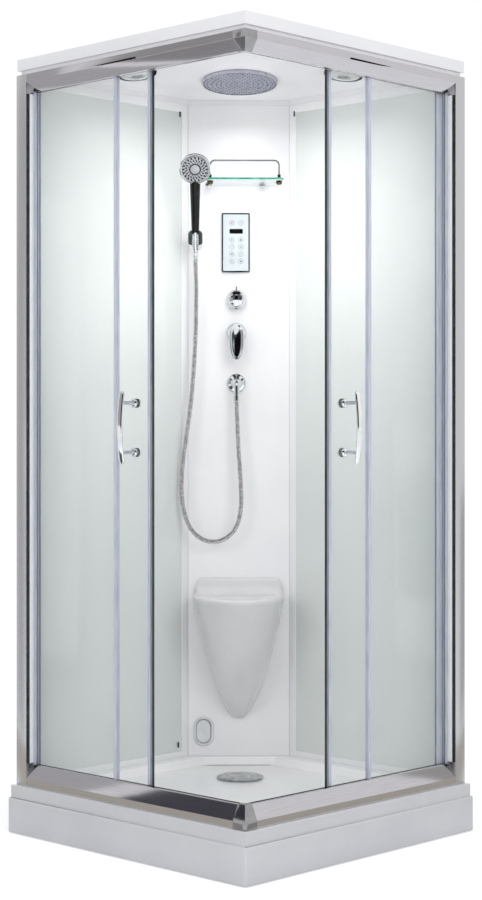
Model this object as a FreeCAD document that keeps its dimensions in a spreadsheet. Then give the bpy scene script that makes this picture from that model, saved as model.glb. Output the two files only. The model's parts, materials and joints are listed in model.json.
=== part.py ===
"""Steam shower cabin: a 900 mm square corner cabin with two sliding doors.

Millimetres, +Z up, floor at z = 0, origin under the centre of the tray.
The glazed faces are the -Y face ("left", seen from the front corner) and the
+X face ("right"). The equipment column cuts off the opposite corner.
"""
import FreeCAD, Part
import Sketcher
import math
import os
import re

# Driving dimensions, one named cell each.
SIZES = {
    # tray
    "tray_side": 900,
    "rim_height": 129,
    "rim_step": 7,
    "rim_width": 62,
    "rim_skirt": 41,
    "acrylic": 5,
    "basin_depth": 21,
    "basin_taper": 38,
    "basin_to_column": 14,
    "drain_offset": 149,
    "drain_dish": 3,
    "dish_radius": 330,
    "drain_hole": 45,
    # apron in front of the tray
    "apron_height": 95,
    "apron_wall": 4,
    "apron_gap": 2,
    "apron_return": 60,
    # steel frame and feet
    "frame_tube": 30,
    "frame_wall": 2,
    "frame_margin": 23,
    "foot_inset": 120,
    "foot_pad": 25,
    "foot_pad_height": 8,
    "foot_stud": 6,
    "foot_nut": 11,
    "foot_nut_height": 10,
    # waste
    "waste_cup": 48,
    "waste_wall": 3,
    "waste_flange": 57,
    "waste_flange_plate": 2,
    "waste_floor": 20,
    "waste_pipe": 19,
    "waste_pipe_height": 41,
    "waste_setback": 10,
    "waste_spigot": 20,
    "waste_spigot_length": 30,
    "cover_radius": 66,
    "cover_thickness": 4,
    "cover_crown": 4,
    "cover_gap": 1.5,
    "cover_stem": 8,
    "cover_stem_length": 24,
    "socket_wall": 3,
    # aluminium rails
    "rail_inset": 20,
    "rail_height": 58,
    "rail_foot": 20,
    "rail_slant": 18,
    "rail_wall": 2.5,
    "rail_lip": 3.5,
    "rail_depth": 54,
    "slot_depth": 15,
    "glass_thickness": 5,
    "glass_fit": 0.2,
    "fixed_glass_plane": 30,
    "door_plane_gap": 12,
    "guide_floor": 11,
    "guide_half": 6,
    "guide_ridge": 21,
    "enclosure_height": 1931,
    "top_rail_height": 49,
    "top_slot_depth": 13,
    "track_step": 6,
    "connector_leg": 41,
    "connector_wall": 1.5,
    # wall posts
    "post_setback": 55,
    "post_width": 41,
    "post_depth": 36,
    "post_slot": 12,
    # glass
    "fixed_glass_share": 0.3722222,
    "edge_seal_width": 10,
    "edge_seal_wall": 1.8,
    "gasket_width": 12,
    "gasket_bulge": 2.5,
    "door_overlap": 32.5,
    "door_shut_gap": 1,
    "door_rest_left": 1.4,
    "door_rest_right": 28.4,
    "door_bottom_gap": 6,
    "door_top_margin": 15,
    "magnet_profile": 19,
    "magnet_wall": 2,
    "magnet_nose": 7,
    "trailing_profile": 30,
    "trailing_wall": 1.6,
    # door running gear
    "roller_inset": 70,
    "roller_radius": 11,
    "roller_gap": 0.3,
    "roller_width": 5,
    "axle_radius": 3,
    "axle_cap": 8,
    "axle_cap_height": 3,
    "glide_width": 34,
    "glide_grip": 16,
    "glide_wall": 2,
    "glide_blade": 3,
    # handles
    "handle_setback": 61,
    "handle_level": 1100,
    "stud_spacing": 127,
    "stud_radius": 5,
    "stud_length": 45,
    "knob_radius": 12,
    "knob_height": 9,
    "washer_height": 1.5,
    "bar_length": 186,
    "bar_width": 18,
    "bar_thickness": 9,
    "bar_bow": 9,
    # walls
    "wall_inset": 30,
    "wall_frame_depth": 16,
    "wall_frame_lip": 2,
    "wall_frame_base": 17,
    "wall_frame_head": 25,
    "wall_frame_edge": 25,
    "wall_frame_rebate": 11,
    "wall_panel_thickness": 4,
    # equipment column
    "column_width": 300,
    "column_skin": 4,
    "column_flange": 24,
    # roof
    "roof_inset": 19,
    "fascia_rise": 11,
    "fascia_height": 31,
    "roof_lip_inset": 8,
    "roof_skin": 4,
    "cornice_height": 15,
    "ceiling_side_slope": 0.161,
    "ceiling_centre_slope": 0.114,
    # ceiling fittings
    "rain_distance": 190,
    "rain_radius": 107,
    "rain_rim": 5,
    "rain_thickness": 12,
    "rain_neck": 12,
    "rain_neck_length": 26,
    "lamp_along": 109,
    "lamp_from_wall": 119,
    "lamp_radius": 56,
    "lamp_rim": 9,
    "lamp_thickness": 7,
    "lamp_lens_drop": 6,
    "lamp_body": 40,
    "lamp_body_height": 30,
    # seat
    "seat_level": 612,
    "seat_half_width": 138,
    "seat_depth": 262,
    "seat_tip": 239,
    "seat_wall": 5,
    "seat_upstand": 46,
    "seat_upstand_depth": 16,
    "seat_dish": 5,
    # shelf
    "shelf_level": 1818,
    "shelf_setback": 165,
    "shelf_width": 226,
    "shelf_depth": 156,
    "shelf_glass": 6,
    "shelf_gap": 3,
    "shelf_chamfer": 12,
    "shelf_bracket_offset": 25,
    "shelf_bracket_spacing": 160,
    "shelf_bracket_radius": 9,
    "shelf_bracket_length": 26,
    "gallery_height": 52,
    "gallery_radius": 3,
    "gallery_inset": 13,
    "gallery_setback": 28,
    "gallery_clamp": 9,
    "gallery_clamp_height": 30,
    "gallery_bend": 14,
    # control panel
    "panel_level": 1651,
    "panel_centre": -9,
    "panel_width": 84,
    "panel_height": 176,
    "panel_depth": 10,
    "panel_frame": 5,
    "panel_recess": 1.5,
    # valves
    "valve_centre": -7,
    "diverter_level": 1483,
    "mixer_level": 1384,
    "outlet_level": 1234,
    "escutcheon_radius": 30,
    "escutcheon_height": 8,
    "valve_stem": 9,
    "valve_stem_reach": 14,
    "valve_hole": 14,
    "knob_clearance": 0.5,
    "running_gap": 0.08,
    "diverter_knob_radius": 24,
    "diverter_knob_height": 24,
    "diverter_pin_radius": 3,
    "diverter_pin_reach": 38,
    "mixer_dome_radius": 25,
    "mixer_dome_height": 20,
    "lever_pivot_out": 18,
    "lever_pivot_radius": 5,
    "lever_pin": 2.5,
    "lever_thickness": 9,
    "lever_gap": 2.5,
    "lever_top_half": 19,
    "lever_tip_half": 7,
    "lever_length": 82,
    "lever_rise": 27,
    # hose outlet
    "outlet_radius": 29,
    "outlet_plate": 6,
    "outlet_reach": 34,
    "outlet_elbow": 11,
    "outlet_drop": 27,
    "hose_nut": 9.5,
    "hose_nut_length": 27,
    # holder and handset
    "holder_out": 76,
    "holder_margin": 22,
    "holder_level": 1650,
    "lean": 27.5,
    "holder_base_radius": 17,
    "holder_base_height": 7,
    "holder_arm": 7,
    "holder_pivot_out": 42,
    "holder_barrel": 8,
    "holder_barrel_half": 8,
    "holder_ear": 5,
    "holder_pin": 3,
    "clip_radius": 21,
    "clip_half_height": 27,
    "clip_slot_half": 7,
    "clip_taper": 3,
    "handset_head_distance": 222,
    "head_radius": 46,
    "head_depth": 20,
    "plate_radius": 41,
    "plate_depth": 5,
    "handle_top_radius": 12.5,
    "handle_clip_radius": 9.5,
    "handle_tail": 34,
    "tail_nut_radius": 9,
    "tail_nut_length": 20,
    "hose_radius": 7,
    # steam
    "steam_across": -104,
    "steam_level": 203,
    "steam_half_width": 29.5,
    "steam_half_height": 43.5,
    "steam_plate": 7,
    "steam_inner": 7,
    "generator_half_width": 66,
    "generator_depth": 84,
    "generator_base": 250,
    "generator_height": 320,
    "generator_clearance": 6,
    "steam_pipe": 9,
    "steam_spigot": 20,
    "steam_hose_reach": 50,
    "steam_hose_bend": 20,
    # pipework behind the column
    "manifold_out": 44,
    "manifold_radius": 20,
    "manifold_margin": 34,
    "pipe_radius": 7.5,
    "inlet_spread": 42,
    "inlet_reach": 22,
    "inlet_thread": 10.5,
    "inlet_thread_length": 18,
    "riser_radius": 6,
    "riser_rise": 20,
    "riser_bend": 14,
    "riser_knee": 60,
}

# The shower hose from the outlet nut to the handset nut: out from the column,
# across it and up from the floor. The split lies on the straight hanging run.
HOSE_LOWER = [
    (34, -7, 1180),
    (35, -5, 1115),
    (38, -1, 1030),
    (42, 5, 945),
    (46, 8, 870),
    (49, -6, 806),
    (50, -46, 769),
    (50, -98, 766),
    (49, -143, 800),
    (48, -166, 865),
    (46, -171, 945),
    (44, -161, 1040),
    (42, -146, 1135),
    (40, -136, 1232),
    (38, -130, 1327),
    (37, -126, 1420),
    (37, -126, 1512),
]
HOSE_UPPER = [
    (37, -126, 1512),
    (37, -126, 1543),
    (36, -128, 1573),
]

NODES = []

doc = FreeCAD.newDocument("SteamShowerCabin")
sheet = doc.addObject("Spreadsheet::Sheet", "Sizes")
for row, (alias, value) in enumerate(SIZES.items(), start=1):
    sheet.set(f"A{row}", alias)
    sheet.set(f"B{row}", str(value))
    sheet.setAlias(f"B{row}", alias)
doc.recompute()


def size(alias):
    """The number in a cell, for the few shapes that are worked out in code."""
    return float(getattr(sheet, alias))


def bound(expression):
    """An expression with each size written as a cell of the sheet."""
    def cell(word):
        return f"Sizes.{word.group(0)}" if word.group(0) in SIZES else word.group(0)
    return re.sub(r"[a-z][a-z_]*", cell, str(expression))


# Places that several pieces share, as expressions.
HALF = "(tray_side / 2)"
RIM_HALF = f"({HALF} - rim_step)"
BASIN_HALF = f"({RIM_HALF} - rim_width)"
BASIN_FLOOR = "(rim_height - basin_depth)"
DISH_FLOOR = f"({BASIN_FLOOR} - drain_dish)"
FLOOR_BASE = f"({DISH_FLOOR} - acrylic)"
TUBE_BASE = f"({FLOOR_BASE} - frame_tube)"
RAIL_OUT = f"({HALF} - rail_inset)"
RAIL_IN = f"({RAIL_OUT} - rail_depth)"
FIXED = f"({RAIL_OUT} - fixed_glass_plane)"
DOOR = f"({FIXED} - door_plane_gap)"
HALF_GLASS = "(glass_thickness / 2)"
HALF_SLOT = "(glass_thickness / 2 + glass_fit)"
POST_START = "(tray_side - post_setback)"
FREE_EDGE = f"({POST_START} - fixed_glass_share * tray_side)"
LIP_FACE = f"({FIXED} - {HALF_SLOT} - rail_lip)"
RAIL_TOP = "(rim_height + rail_height)"
GUIDE_FLOOR = "(rim_height + guide_floor)"
GUIDE_RIDGE = "(rim_height + guide_ridge)"
ROOF_SEAT = "(rim_height + enclosure_height)"
TOP_RAIL_BASE = f"({ROOF_SEAT} - top_rail_height)"
TRACK = f"({TOP_RAIL_BASE} + top_slot_depth + track_step)"
POST_END = f"({POST_START} + post_width)"
POST_IN = f"({RAIL_OUT} - post_depth)"
DOOR_BASE = f"({GUIDE_RIDGE} + door_bottom_gap)"
AXLE_LEVEL = f"({TRACK} + roller_radius + roller_gap)"
DOOR_TOP = f"({AXLE_LEVEL} + door_top_margin)"
WALL_FACE = f"({HALF} - wall_inset)"
WALL_BACK = f"({WALL_FACE} + wall_frame_depth)"
COLUMN_DISTANCE = f"({WALL_FACE} * sqrt(2) - column_width / 2)"
COLUMN_CORNER = f"({WALL_FACE} - column_width / sqrt(2))"
SHUT_LEAD = f"({HALF} - {DOOR} - {HALF_GLASS} + magnet_nose + door_shut_gap)"
DOOR_WIDTH = f"({FREE_EDGE} + door_overlap - {SHUT_LEAD})"
DOOR_REACH = f"({WALL_FACE} + {HALF} - trailing_wall - {DOOR_WIDTH})"
FRAME_REACH = f"({RIM_HALF} - frame_margin)"
FOOT_SPREAD = f"({FRAME_REACH} - foot_inset)"
ROOF_HALF = f"({HALF} - roof_inset)"
CEILING_EDGE = f"({ROOF_SEAT} + cornice_height)"
WASTE_X = "(-drain_offset)"
WASTE_Y = "drain_offset"
RAIN_LEVEL = f"({CEILING_EDGE} + ceiling_centre_slope * rain_distance)"
LAMP_LEVEL = f"({CEILING_EDGE} + ceiling_side_slope * lamp_from_wall)"
FASCIA_BASE = f"({ROOF_SEAT} + fascia_rise)"
FASCIA_TOP = f"({FASCIA_BASE} + fascia_height)"
HOLDER_ACROSS = "(holder_margin - column_width / 2)"
SHELF_CENTRE = "(shelf_setback - column_width / 2)"
SHELF_LEFT = f"({SHELF_CENTRE} - shelf_width / 2)"
SHELF_RIGHT = f"({SHELF_CENTRE} + shelf_width / 2)"
GLIDE_TIP = f"({GUIDE_FLOOR} + 3)"

TURNS = {
    "up": FreeCAD.Rotation(),
    "down": FreeCAD.Rotation(FreeCAD.Vector(1, 0, 0), 180),
    "left_out": FreeCAD.Rotation(FreeCAD.Vector(1, 0, 0), 90),
    "right_out": FreeCAD.Rotation(FreeCAD.Vector(0, 1, 0), 90),
    "out": FreeCAD.Rotation(FreeCAD.Vector(0, 1, 0), 90),
    "back": FreeCAD.Rotation(FreeCAD.Vector(0, 1, 0), -90),
    "across": FreeCAD.Rotation(FreeCAD.Vector(1, 0, 0), -90),
}
COLUMN_TURN = FreeCAD.Rotation(FreeCAD.Vector(0, 0, 1), -45)


def place(thing, at=("0", "0", "0"), turn="up", column=False):
    """Puts a piece at a point, in the cabin's frame or out from, across and up the column."""
    rotation = TURNS[turn] if isinstance(turn, str) else turn
    along, across, level = at
    if column:
        rotation = COLUMN_TURN * rotation
        behind = f"(({along}) - {COLUMN_DISTANCE})"
        along, across = (
            f"({behind} + ({across})) / sqrt(2)",
            f"(-{behind} + ({across})) / sqrt(2)",
        )
    thing.Placement = FreeCAD.Placement(FreeCAD.Vector(), rotation)
    for axis, expression in zip("xyz", (along, across, level)):
        thing.setExpression(f".Placement.Base.{axis}", bound(expression))
    return thing


def node(label, thing):
    """Names a finished piece and puts it on the list of nodes."""
    thing.Label = label
    NODES.append(thing)
    return thing


def add(kind, label, **sizes):
    """A primitive with its sizes bound to the sheet."""
    thing = doc.addObject(kind, label)
    for name, expression in sizes.items():
        thing.setExpression(name, bound(expression))
    return thing


def box(label, x, y, z, column=False):
    """A block between two expressions on each axis."""
    thing = add(
        "Part::Box",
        label,
        Length=f"({x[1]}) - ({x[0]})",
        Width=f"({y[1]}) - ({y[0]})",
        Height=f"({z[1]}) - ({z[0]})",
    )
    return place(thing, (x[0], y[0], z[0]), column=column)


def cylinder(label, radius, length, at, turn="up", column=False):
    thing = add("Part::Cylinder", label, Radius=radius, Height=length)
    return place(thing, at, turn, column)


def cone(label, base, top, length, at, turn="up", column=False):
    thing = add("Part::Cone", label, Radius1=base, Radius2=top, Height=length)
    return place(thing, at, turn, column)


def fuse(label, *parts):
    thing = doc.addObject("Part::MultiFuse", label)
    thing.Shapes = list(parts)
    return thing


def group(label, *parts):
    """Separate solids that share one node."""
    thing = doc.addObject("Part::Compound", label)
    thing.Links = list(parts)
    return thing


def cut(label, base, *tools):
    thing = doc.addObject("Part::Cut", label)
    thing.Base = base
    thing.Tool = tools[0] if len(tools) == 1 else fuse(f"{label}_tools", *tools)
    return thing


def common(label, *parts):
    thing = doc.addObject("Part::MultiCommon", label)
    thing.Shapes = list(parts)
    return thing


def sketch(body, name, role, loops):
    """Closed outlines of straight lines, each corner held by two bound distances."""
    profile = body.newObject("Sketcher::SketchObject", name)
    plane = next(f for f in body.Origin.OriginFeatures if f.Role == role)
    profile.AttachmentSupport = [(plane, "")]
    profile.MapMode = "FlatFace"
    first = 0
    for ring, loop in enumerate(loops):
        count = len(loop)
        reach = 50.0 / (ring + 1)
        guesses = [
            FreeCAD.Vector(
                reach * math.cos(2 * math.pi * i / count),
                reach * math.sin(2 * math.pi * i / count),
                0,
            )
            for i in range(count)
        ]
        for i in range(count):
            line = Part.LineSegment(guesses[i], guesses[(i + 1) % count])
            profile.addGeometry(line, False)
        ties = []
        for i in range(count):
            after = first + (i + 1) % count
            ties.append(Sketcher.Constraint("Coincident", first + i, 2, after, 1))
        for i, guess in enumerate(guesses):
            ties.append(Sketcher.Constraint("DistanceX", -1, 1, first + i, 1, guess.x))
            ties.append(Sketcher.Constraint("DistanceY", -1, 1, first + i, 1, guess.y))
        start = profile.ConstraintCount
        profile.addConstraint(ties)
        for i, (across, up) in enumerate(loop):
            across_tie = start + count + 2 * i
            profile.setExpression(f"Constraints[{across_tie}]", bound(across))
            profile.setExpression(f"Constraints[{across_tie + 1}]", bound(up))
        first += count
    return profile


def prism(label, role, loops, start, end):
    """A body padded from one expression to another along the plane's normal."""
    body = doc.addObject("PartDesign::Body", label)
    profile = sketch(body, f"{label}_outline", role, loops)
    profile.setExpression("AttachmentOffset.Base.z", bound(start))
    pad = body.newObject("PartDesign::Pad", f"{label}_pad")
    pad.Profile = profile
    pad.setExpression("Length", bound(f"({end}) - ({start})"))
    return body


def turned(label, outline, at=("0", "0", "0"), turn="up", column=False):
    """A body of revolution; the outline gives radius and height along its axis."""
    body = doc.addObject("PartDesign::Body", label)
    profile = sketch(body, f"{label}_outline", "XZ_Plane", [outline])
    round_feature = body.newObject("PartDesign::Revolution", f"{label}_turning")
    round_feature.Profile = profile
    round_feature.ReferenceAxis = (profile, ["V_Axis"])
    round_feature.Angle = 360
    return place(body, at, turn, column)


def side_prism(label, side, loops, start, end):
    """An extrusion along a glazed face; points are outward distance and height."""
    if side == "left":
        loops = [[(f"-({outward})", level) for outward, level in loop] for loop in loops]
        role = "YZ_Plane"
    else:
        role = "XZ_Plane"
    return prism(label, role, loops, f"{HALF} - ({end})", f"{HALF} - ({start})")


def side_box(label, side, along, outward, z):
    """A block given along a glazed face from the tray's front corner, and outwards."""
    if side == "left":
        x = (f"{HALF} - ({along[1]})", f"{HALF} - ({along[0]})")
        y = (f"-({outward[1]})", f"-({outward[0]})")
        return box(label, x, y, z)
    y = (f"({along[0]}) - {HALF}", f"({along[1]}) - {HALF}")
    return box(label, outward, y, z)


def side_point(side, along, outward):
    if side == "left":
        return (f"{HALF} - ({along})", f"-({outward})")
    return (f"({outward})", f"({along}) - {HALF}")


def tube(label, points, radius, bend=None, column=True, bore=None):
    """A round tube of straight runs and tangent arcs; reports its bends.

    An arc takes 0.45 of its shorter run, or the given bend radius.
    """
    corners = [FreeCAD.Vector(*point) for point in points]
    edges = []
    radii = []
    start = corners[0]
    for before, corner, after in zip(corners, corners[1:], corners[2:]):
        incoming = (corner - before).normalize()
        outgoing = (after - corner).normalize()
        turning = incoming.getAngle(outgoing)
        shorter = min((corner - before).Length, (after - corner).Length)
        reach = bend * math.tan(turning / 2) if bend else 0.45 * shorter
        radii.append(reach / math.tan(turning / 2))
        arc_start = corner - incoming * reach
        arc_end = corner + outgoing * reach
        toward = (outgoing - incoming).normalize()
        centre = corner + toward * (reach / math.sin(turning / 2))
        middle = centre - toward * radii[-1]
        edges.append(Part.LineSegment(start, arc_start).toShape())
        edges.append(Part.Arc(arc_start, middle, arc_end).toShape())
        start = arc_end
    edges.append(Part.LineSegment(start, corners[-1]).toShape())
    path = Part.Wire(edges)
    axis = corners[1] - corners[0]
    ring = Part.Wire(Part.Circle(corners[0], axis, radius).toShape())
    solid = path.makePipeShell([ring], True, False)
    if bore:
        inner = Part.Wire(Part.Circle(corners[0], axis, bore).toShape())
        solid = solid.cut(path.makePipeShell([inner], True, False))
    else:
        expected = math.pi * radius ** 2 * path.Length
        share = solid.Volume / expected
        least = min(radii) if radii else 0
        print(f"{label}: length {path.Length:.0f}, least bend {least:.0f}, volume share {share:.4f}")
    thing = doc.addObject("Part::Feature", label)
    thing.Shape = solid
    return place(thing, column=column)


# ---------------------------------------------------------------- tray group

def make_tray():
    block = box(
        "tray_block",
        (f"-{RIM_HALF}", RIM_HALF),
        (f"-{RIM_HALF}", RIM_HALF),
        ("rim_height - rim_skirt", "rim_height"),
    )
    # The basin's back corner is cut off parallel to the column.
    corner_sum = f"(({COLUMN_DISTANCE} - basin_to_column) * sqrt(2))"
    basin = doc.addObject("PartDesign::Body", "tray_basin")
    outline = sketch(basin, "tray_basin_outline", "XY_Plane", [[
        (f"-{BASIN_HALF}", f"-{BASIN_HALF}"),
        (BASIN_HALF, f"-{BASIN_HALF}"),
        (BASIN_HALF, BASIN_HALF),
        (f"{BASIN_HALF} - {corner_sum}", BASIN_HALF),
        (f"-{BASIN_HALF}", f"{corner_sum} - {BASIN_HALF}"),
    ]])
    outline.setExpression("AttachmentOffset.Base.z", bound("rim_height"))
    depth = basin.newObject("PartDesign::Pad", "tray_basin_depth")
    depth.Profile = outline
    depth.Reversed = True
    depth.setExpression("Length", bound("basin_depth"))
    depth.setExpression("TaperAngle", bound("-basin_taper"))
    dish = cone(
        "tray_dish",
        "cover_radius",
        "dish_radius",
        "drain_dish",
        (WASTE_X, WASTE_Y, DISH_FLOOR),
    )
    dish_common = common("tray_dish_inside", dish, box(
        "tray_dish_limit",
        (f"-{BASIN_HALF} + basin_depth", BASIN_HALF),
        (f"-{BASIN_HALF}", f"{BASIN_HALF} - basin_depth"),
        (DISH_FLOOR, BASIN_FLOOR),
    ))
    inner = f"({RIM_HALF} - acrylic)"
    wall = f"({BASIN_HALF} + acrylic)"
    under = box("tray_under", (f"-{inner}", inner), (f"-{inner}", inner),
                ("rim_height - rim_skirt", FLOOR_BASE))
    channel_outer = box("tray_channel_outer", (f"-{inner}", inner), (f"-{inner}", inner),
                        (FLOOR_BASE, "rim_height - acrylic"))
    channel_inner = box("tray_channel_inner", (f"-{wall}", wall), (f"-{wall}", wall),
                        (FLOOR_BASE, "rim_height - acrylic"))
    channel = cut("tray_channel", channel_outer, channel_inner)
    hole = cylinder("tray_waste_hole", "drain_hole", "rim_height", (WASTE_X, WASTE_Y, "0"))
    node("tray", cut("tray", block, basin, dish_common, under, channel, hole))


def make_apron():
    outer = HALF
    wall = f"({HALF} - apron_wall)"
    ledge = RIM_HALF
    end = f"({HALF} - apron_return)"
    skin = prism("apron_skin", "XY_Plane", [[
        (f"-{outer}", f"-{outer}"),
        (outer, f"-{outer}"),
        (outer, outer),
        (end, outer),
        (end, f"{outer} - apron_wall"),
        (wall, f"{outer} - apron_wall"),
        (wall, f"-{wall}"),
        (f"-{wall}", f"-{wall}"),
        (f"-{wall}", f"-{end}"),
        (f"-{outer}", f"-{end}"),
    ]], "apron_gap", "apron_height")
    top = prism("apron_ledge", "XY_Plane", [[
        (f"-{wall}", f"-{wall}"),
        (wall, f"-{wall}"),
        (wall, wall),
        (ledge, wall),
        (ledge, f"-{ledge}"),
        (f"-{wall}", f"-{ledge}"),
    ]], "apron_height - apron_wall", "apron_height")
    node("tray_skirt", fuse("tray_skirt", skin, top))


def make_support_frame():
    half = "(frame_tube / 2)"
    bore = "(frame_tube / 2 - frame_wall)"
    outer = []
    inner = []
    places = [f"-{FOOT_SPREAD}", "0", FOOT_SPREAD]
    levels = (TUBE_BASE, FLOOR_BASE)
    inner_levels = (f"{TUBE_BASE} + frame_wall", f"{FLOOR_BASE} - frame_wall")
    for index, place_y in enumerate(places):
        across = (f"{place_y} - {half}", f"{place_y} + {half}")
        across_in = (f"{place_y} - {bore}", f"{place_y} + {bore}")
        outer.append(box(f"frame_bar_{index}", (f"-{FRAME_REACH}", FRAME_REACH), across, levels))
        bore_reach = (f"-{FRAME_REACH} + frame_wall", f"{FRAME_REACH} - frame_wall")
        inner.append(box(f"frame_bore_{index}", bore_reach, across_in, inner_levels))
    for index, place_x in enumerate((places[0], places[2])):
        across = (f"{place_x} - {half}", f"{place_x} + {half}")
        across_in = (f"{place_x} - {bore}", f"{place_x} + {bore}")
        outer.append(box(f"frame_cross_{index}", across, (f"-{FRAME_REACH}", FRAME_REACH), levels))
        inner.append(box(f"frame_cross_bore_{index}", across_in,
                         (f"-{FRAME_REACH} + frame_wall", f"{FRAME_REACH} - frame_wall"), inner_levels))
    welded = fuse("frame_welded", *outer)
    node("tray_support_frame", cut("tray_support_frame", welded, *inner))


def make_feet():
    outline = [
        ("0", "0"),
        ("foot_pad", "0"),
        ("foot_pad", "foot_pad_height * 0.6"),
        ("foot_nut", "foot_pad_height"),
        ("foot_stud", "foot_pad_height + 4"),
        ("foot_stud", f"{TUBE_BASE} - foot_nut_height"),
        ("foot_nut", f"{TUBE_BASE} - foot_nut_height"),
        ("foot_nut", TUBE_BASE),
        ("0", TUBE_BASE),
    ]
    spots = [("0", "0")]
    for x in (f"-{FOOT_SPREAD}", FOOT_SPREAD):
        for y in (f"-{FOOT_SPREAD}", FOOT_SPREAD):
            spots.append((x, y))
    feet = [
        turned(f"foot_{index}", outline, (x, y, "0"))
        for index, (x, y) in enumerate(spots)
    ]
    node("leveling_feet", group("leveling_feet", *feet))


def make_waste():
    bore = "(waste_cup - waste_wall)"
    throat = "(drain_hole - 1)"
    cup = turned("waste_cup_body", [
        ("0", "waste_floor"),
        ("waste_cup", "waste_floor"),
        ("waste_cup", f"{FLOOR_BASE} - waste_wall"),
        ("waste_flange", f"{FLOOR_BASE} - waste_wall"),
        ("waste_flange", FLOOR_BASE),
        (throat, FLOOR_BASE),
        (throat, DISH_FLOOR),
        ("waste_flange", DISH_FLOOR),
        ("waste_flange", f"{DISH_FLOOR} + waste_flange_plate"),
        (f"{throat} - waste_wall", f"{DISH_FLOOR} + waste_flange_plate"),
        (f"{throat} - waste_wall", "waste_floor + waste_wall"),
        ("0", "waste_floor + waste_wall"),
    ], (WASTE_X, WASTE_Y, "0"))
    pipe_start = f"({WASTE_X} - waste_cup + waste_wall / 2)"
    pipe_end = f"(waste_setback - {HALF})"
    pipe = cylinder("waste_pipe_wall", "waste_pipe", f"{pipe_start} - {pipe_end}",
                    (pipe_start, WASTE_Y, "waste_pipe_height"), "back")
    spigot = cylinder("waste_spigot_wall", "waste_spigot", "waste_spigot_length",
                      (f"{pipe_end} + waste_spigot_length", WASTE_Y, "waste_pipe_height"), "back")
    pipe_bore = cylinder("waste_pipe_bore", "waste_spigot - waste_wall", HALF,
                         (f"{WASTE_X} - waste_cup + waste_wall * 2", WASTE_Y, "waste_pipe_height"), "back")
    # A spider inside the cup carries the socket of the cover's stem.
    socket_top = f"({DISH_FLOOR} - 1)"
    socket = turned("waste_socket", [
        ("cover_stem + running_gap", f"{socket_top} - cover_stem_length"),
        ("cover_stem + running_gap + socket_wall", f"{socket_top} - cover_stem_length"),
        ("cover_stem + running_gap + socket_wall", socket_top),
        ("cover_stem + running_gap", socket_top),
    ], (WASTE_X, WASTE_Y, "0"))
    reach = f"({throat} - waste_wall / 2)"
    bar = box("waste_spider_bar", (f"{WASTE_X} - {reach}", f"{WASTE_X} + {reach}"),
              (f"{WASTE_Y} - socket_wall / 2", f"{WASTE_Y} + socket_wall / 2"),
              (f"{socket_top} - cover_stem_length", f"{socket_top} - cover_stem_length / 2"))
    stem_way = cylinder("waste_stem_way", "cover_stem + running_gap", "rim_height",
                        (WASTE_X, WASTE_Y, "waste_floor + waste_wall"))
    spider = cut("waste_spider", bar, stem_way)
    body = fuse("waste_body", cup, pipe, spigot, socket, spider)
    node("drain_trap", cut("drain_trap", body, pipe_bore))
    underside = f"({DISH_FLOOR} + waste_flange_plate + cover_gap)"
    edge = f"({underside} + cover_thickness)"
    cover = turned("drain_cover", [
        ("0", f"{DISH_FLOOR} - cover_stem_length + 2"),
        ("cover_stem", f"{DISH_FLOOR} - cover_stem_length + 2"),
        ("cover_stem", underside),
        ("cover_radius", underside),
        ("cover_radius", edge),
        ("cover_radius * 0.6", f"{edge} + cover_crown * 0.7"),
        ("0", f"{edge} + cover_crown"),
    ], (WASTE_X, WASTE_Y, "0"))
    node("drain_cover", cover)


# ------------------------------------------------------- rails, posts, glass

def bottom_rail_loops():
    wall = "rail_wall"
    outline = [
        (RAIL_OUT, "rim_height"),
        (RAIL_OUT, "rim_height + rail_foot"),
        (f"{RAIL_OUT} - rail_slant", RAIL_TOP),
        (f"{FIXED} + {HALF_SLOT}", RAIL_TOP),
        (f"{FIXED} + {HALF_SLOT}", f"{RAIL_TOP} - slot_depth"),
        (f"{FIXED} - {HALF_SLOT}", f"{RAIL_TOP} - slot_depth"),
        (f"{FIXED} - {HALF_SLOT}", RAIL_TOP),
        (LIP_FACE, RAIL_TOP),
        (LIP_FACE, GUIDE_FLOOR),
        (f"{DOOR} - guide_half", GUIDE_FLOOR),
        (f"{DOOR} - guide_half", GUIDE_RIDGE),
        (RAIL_IN, GUIDE_RIDGE),
        (RAIL_IN, "rim_height"),
    ]
    inner_out = f"({RAIL_OUT} - {wall})"
    chamber = [
        (inner_out, f"rim_height + {wall}"),
        (inner_out, "rim_height + rail_foot - 1"),
        (f"{inner_out} - rail_slant + 1", f"{RAIL_TOP} - {wall}"),
        (f"{FIXED} + {HALF_SLOT} + {wall}", f"{RAIL_TOP} - {wall}"),
        (f"{FIXED} + {HALF_SLOT} + {wall}", f"rim_height + {wall}"),
    ]
    return [outline, chamber]


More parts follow.
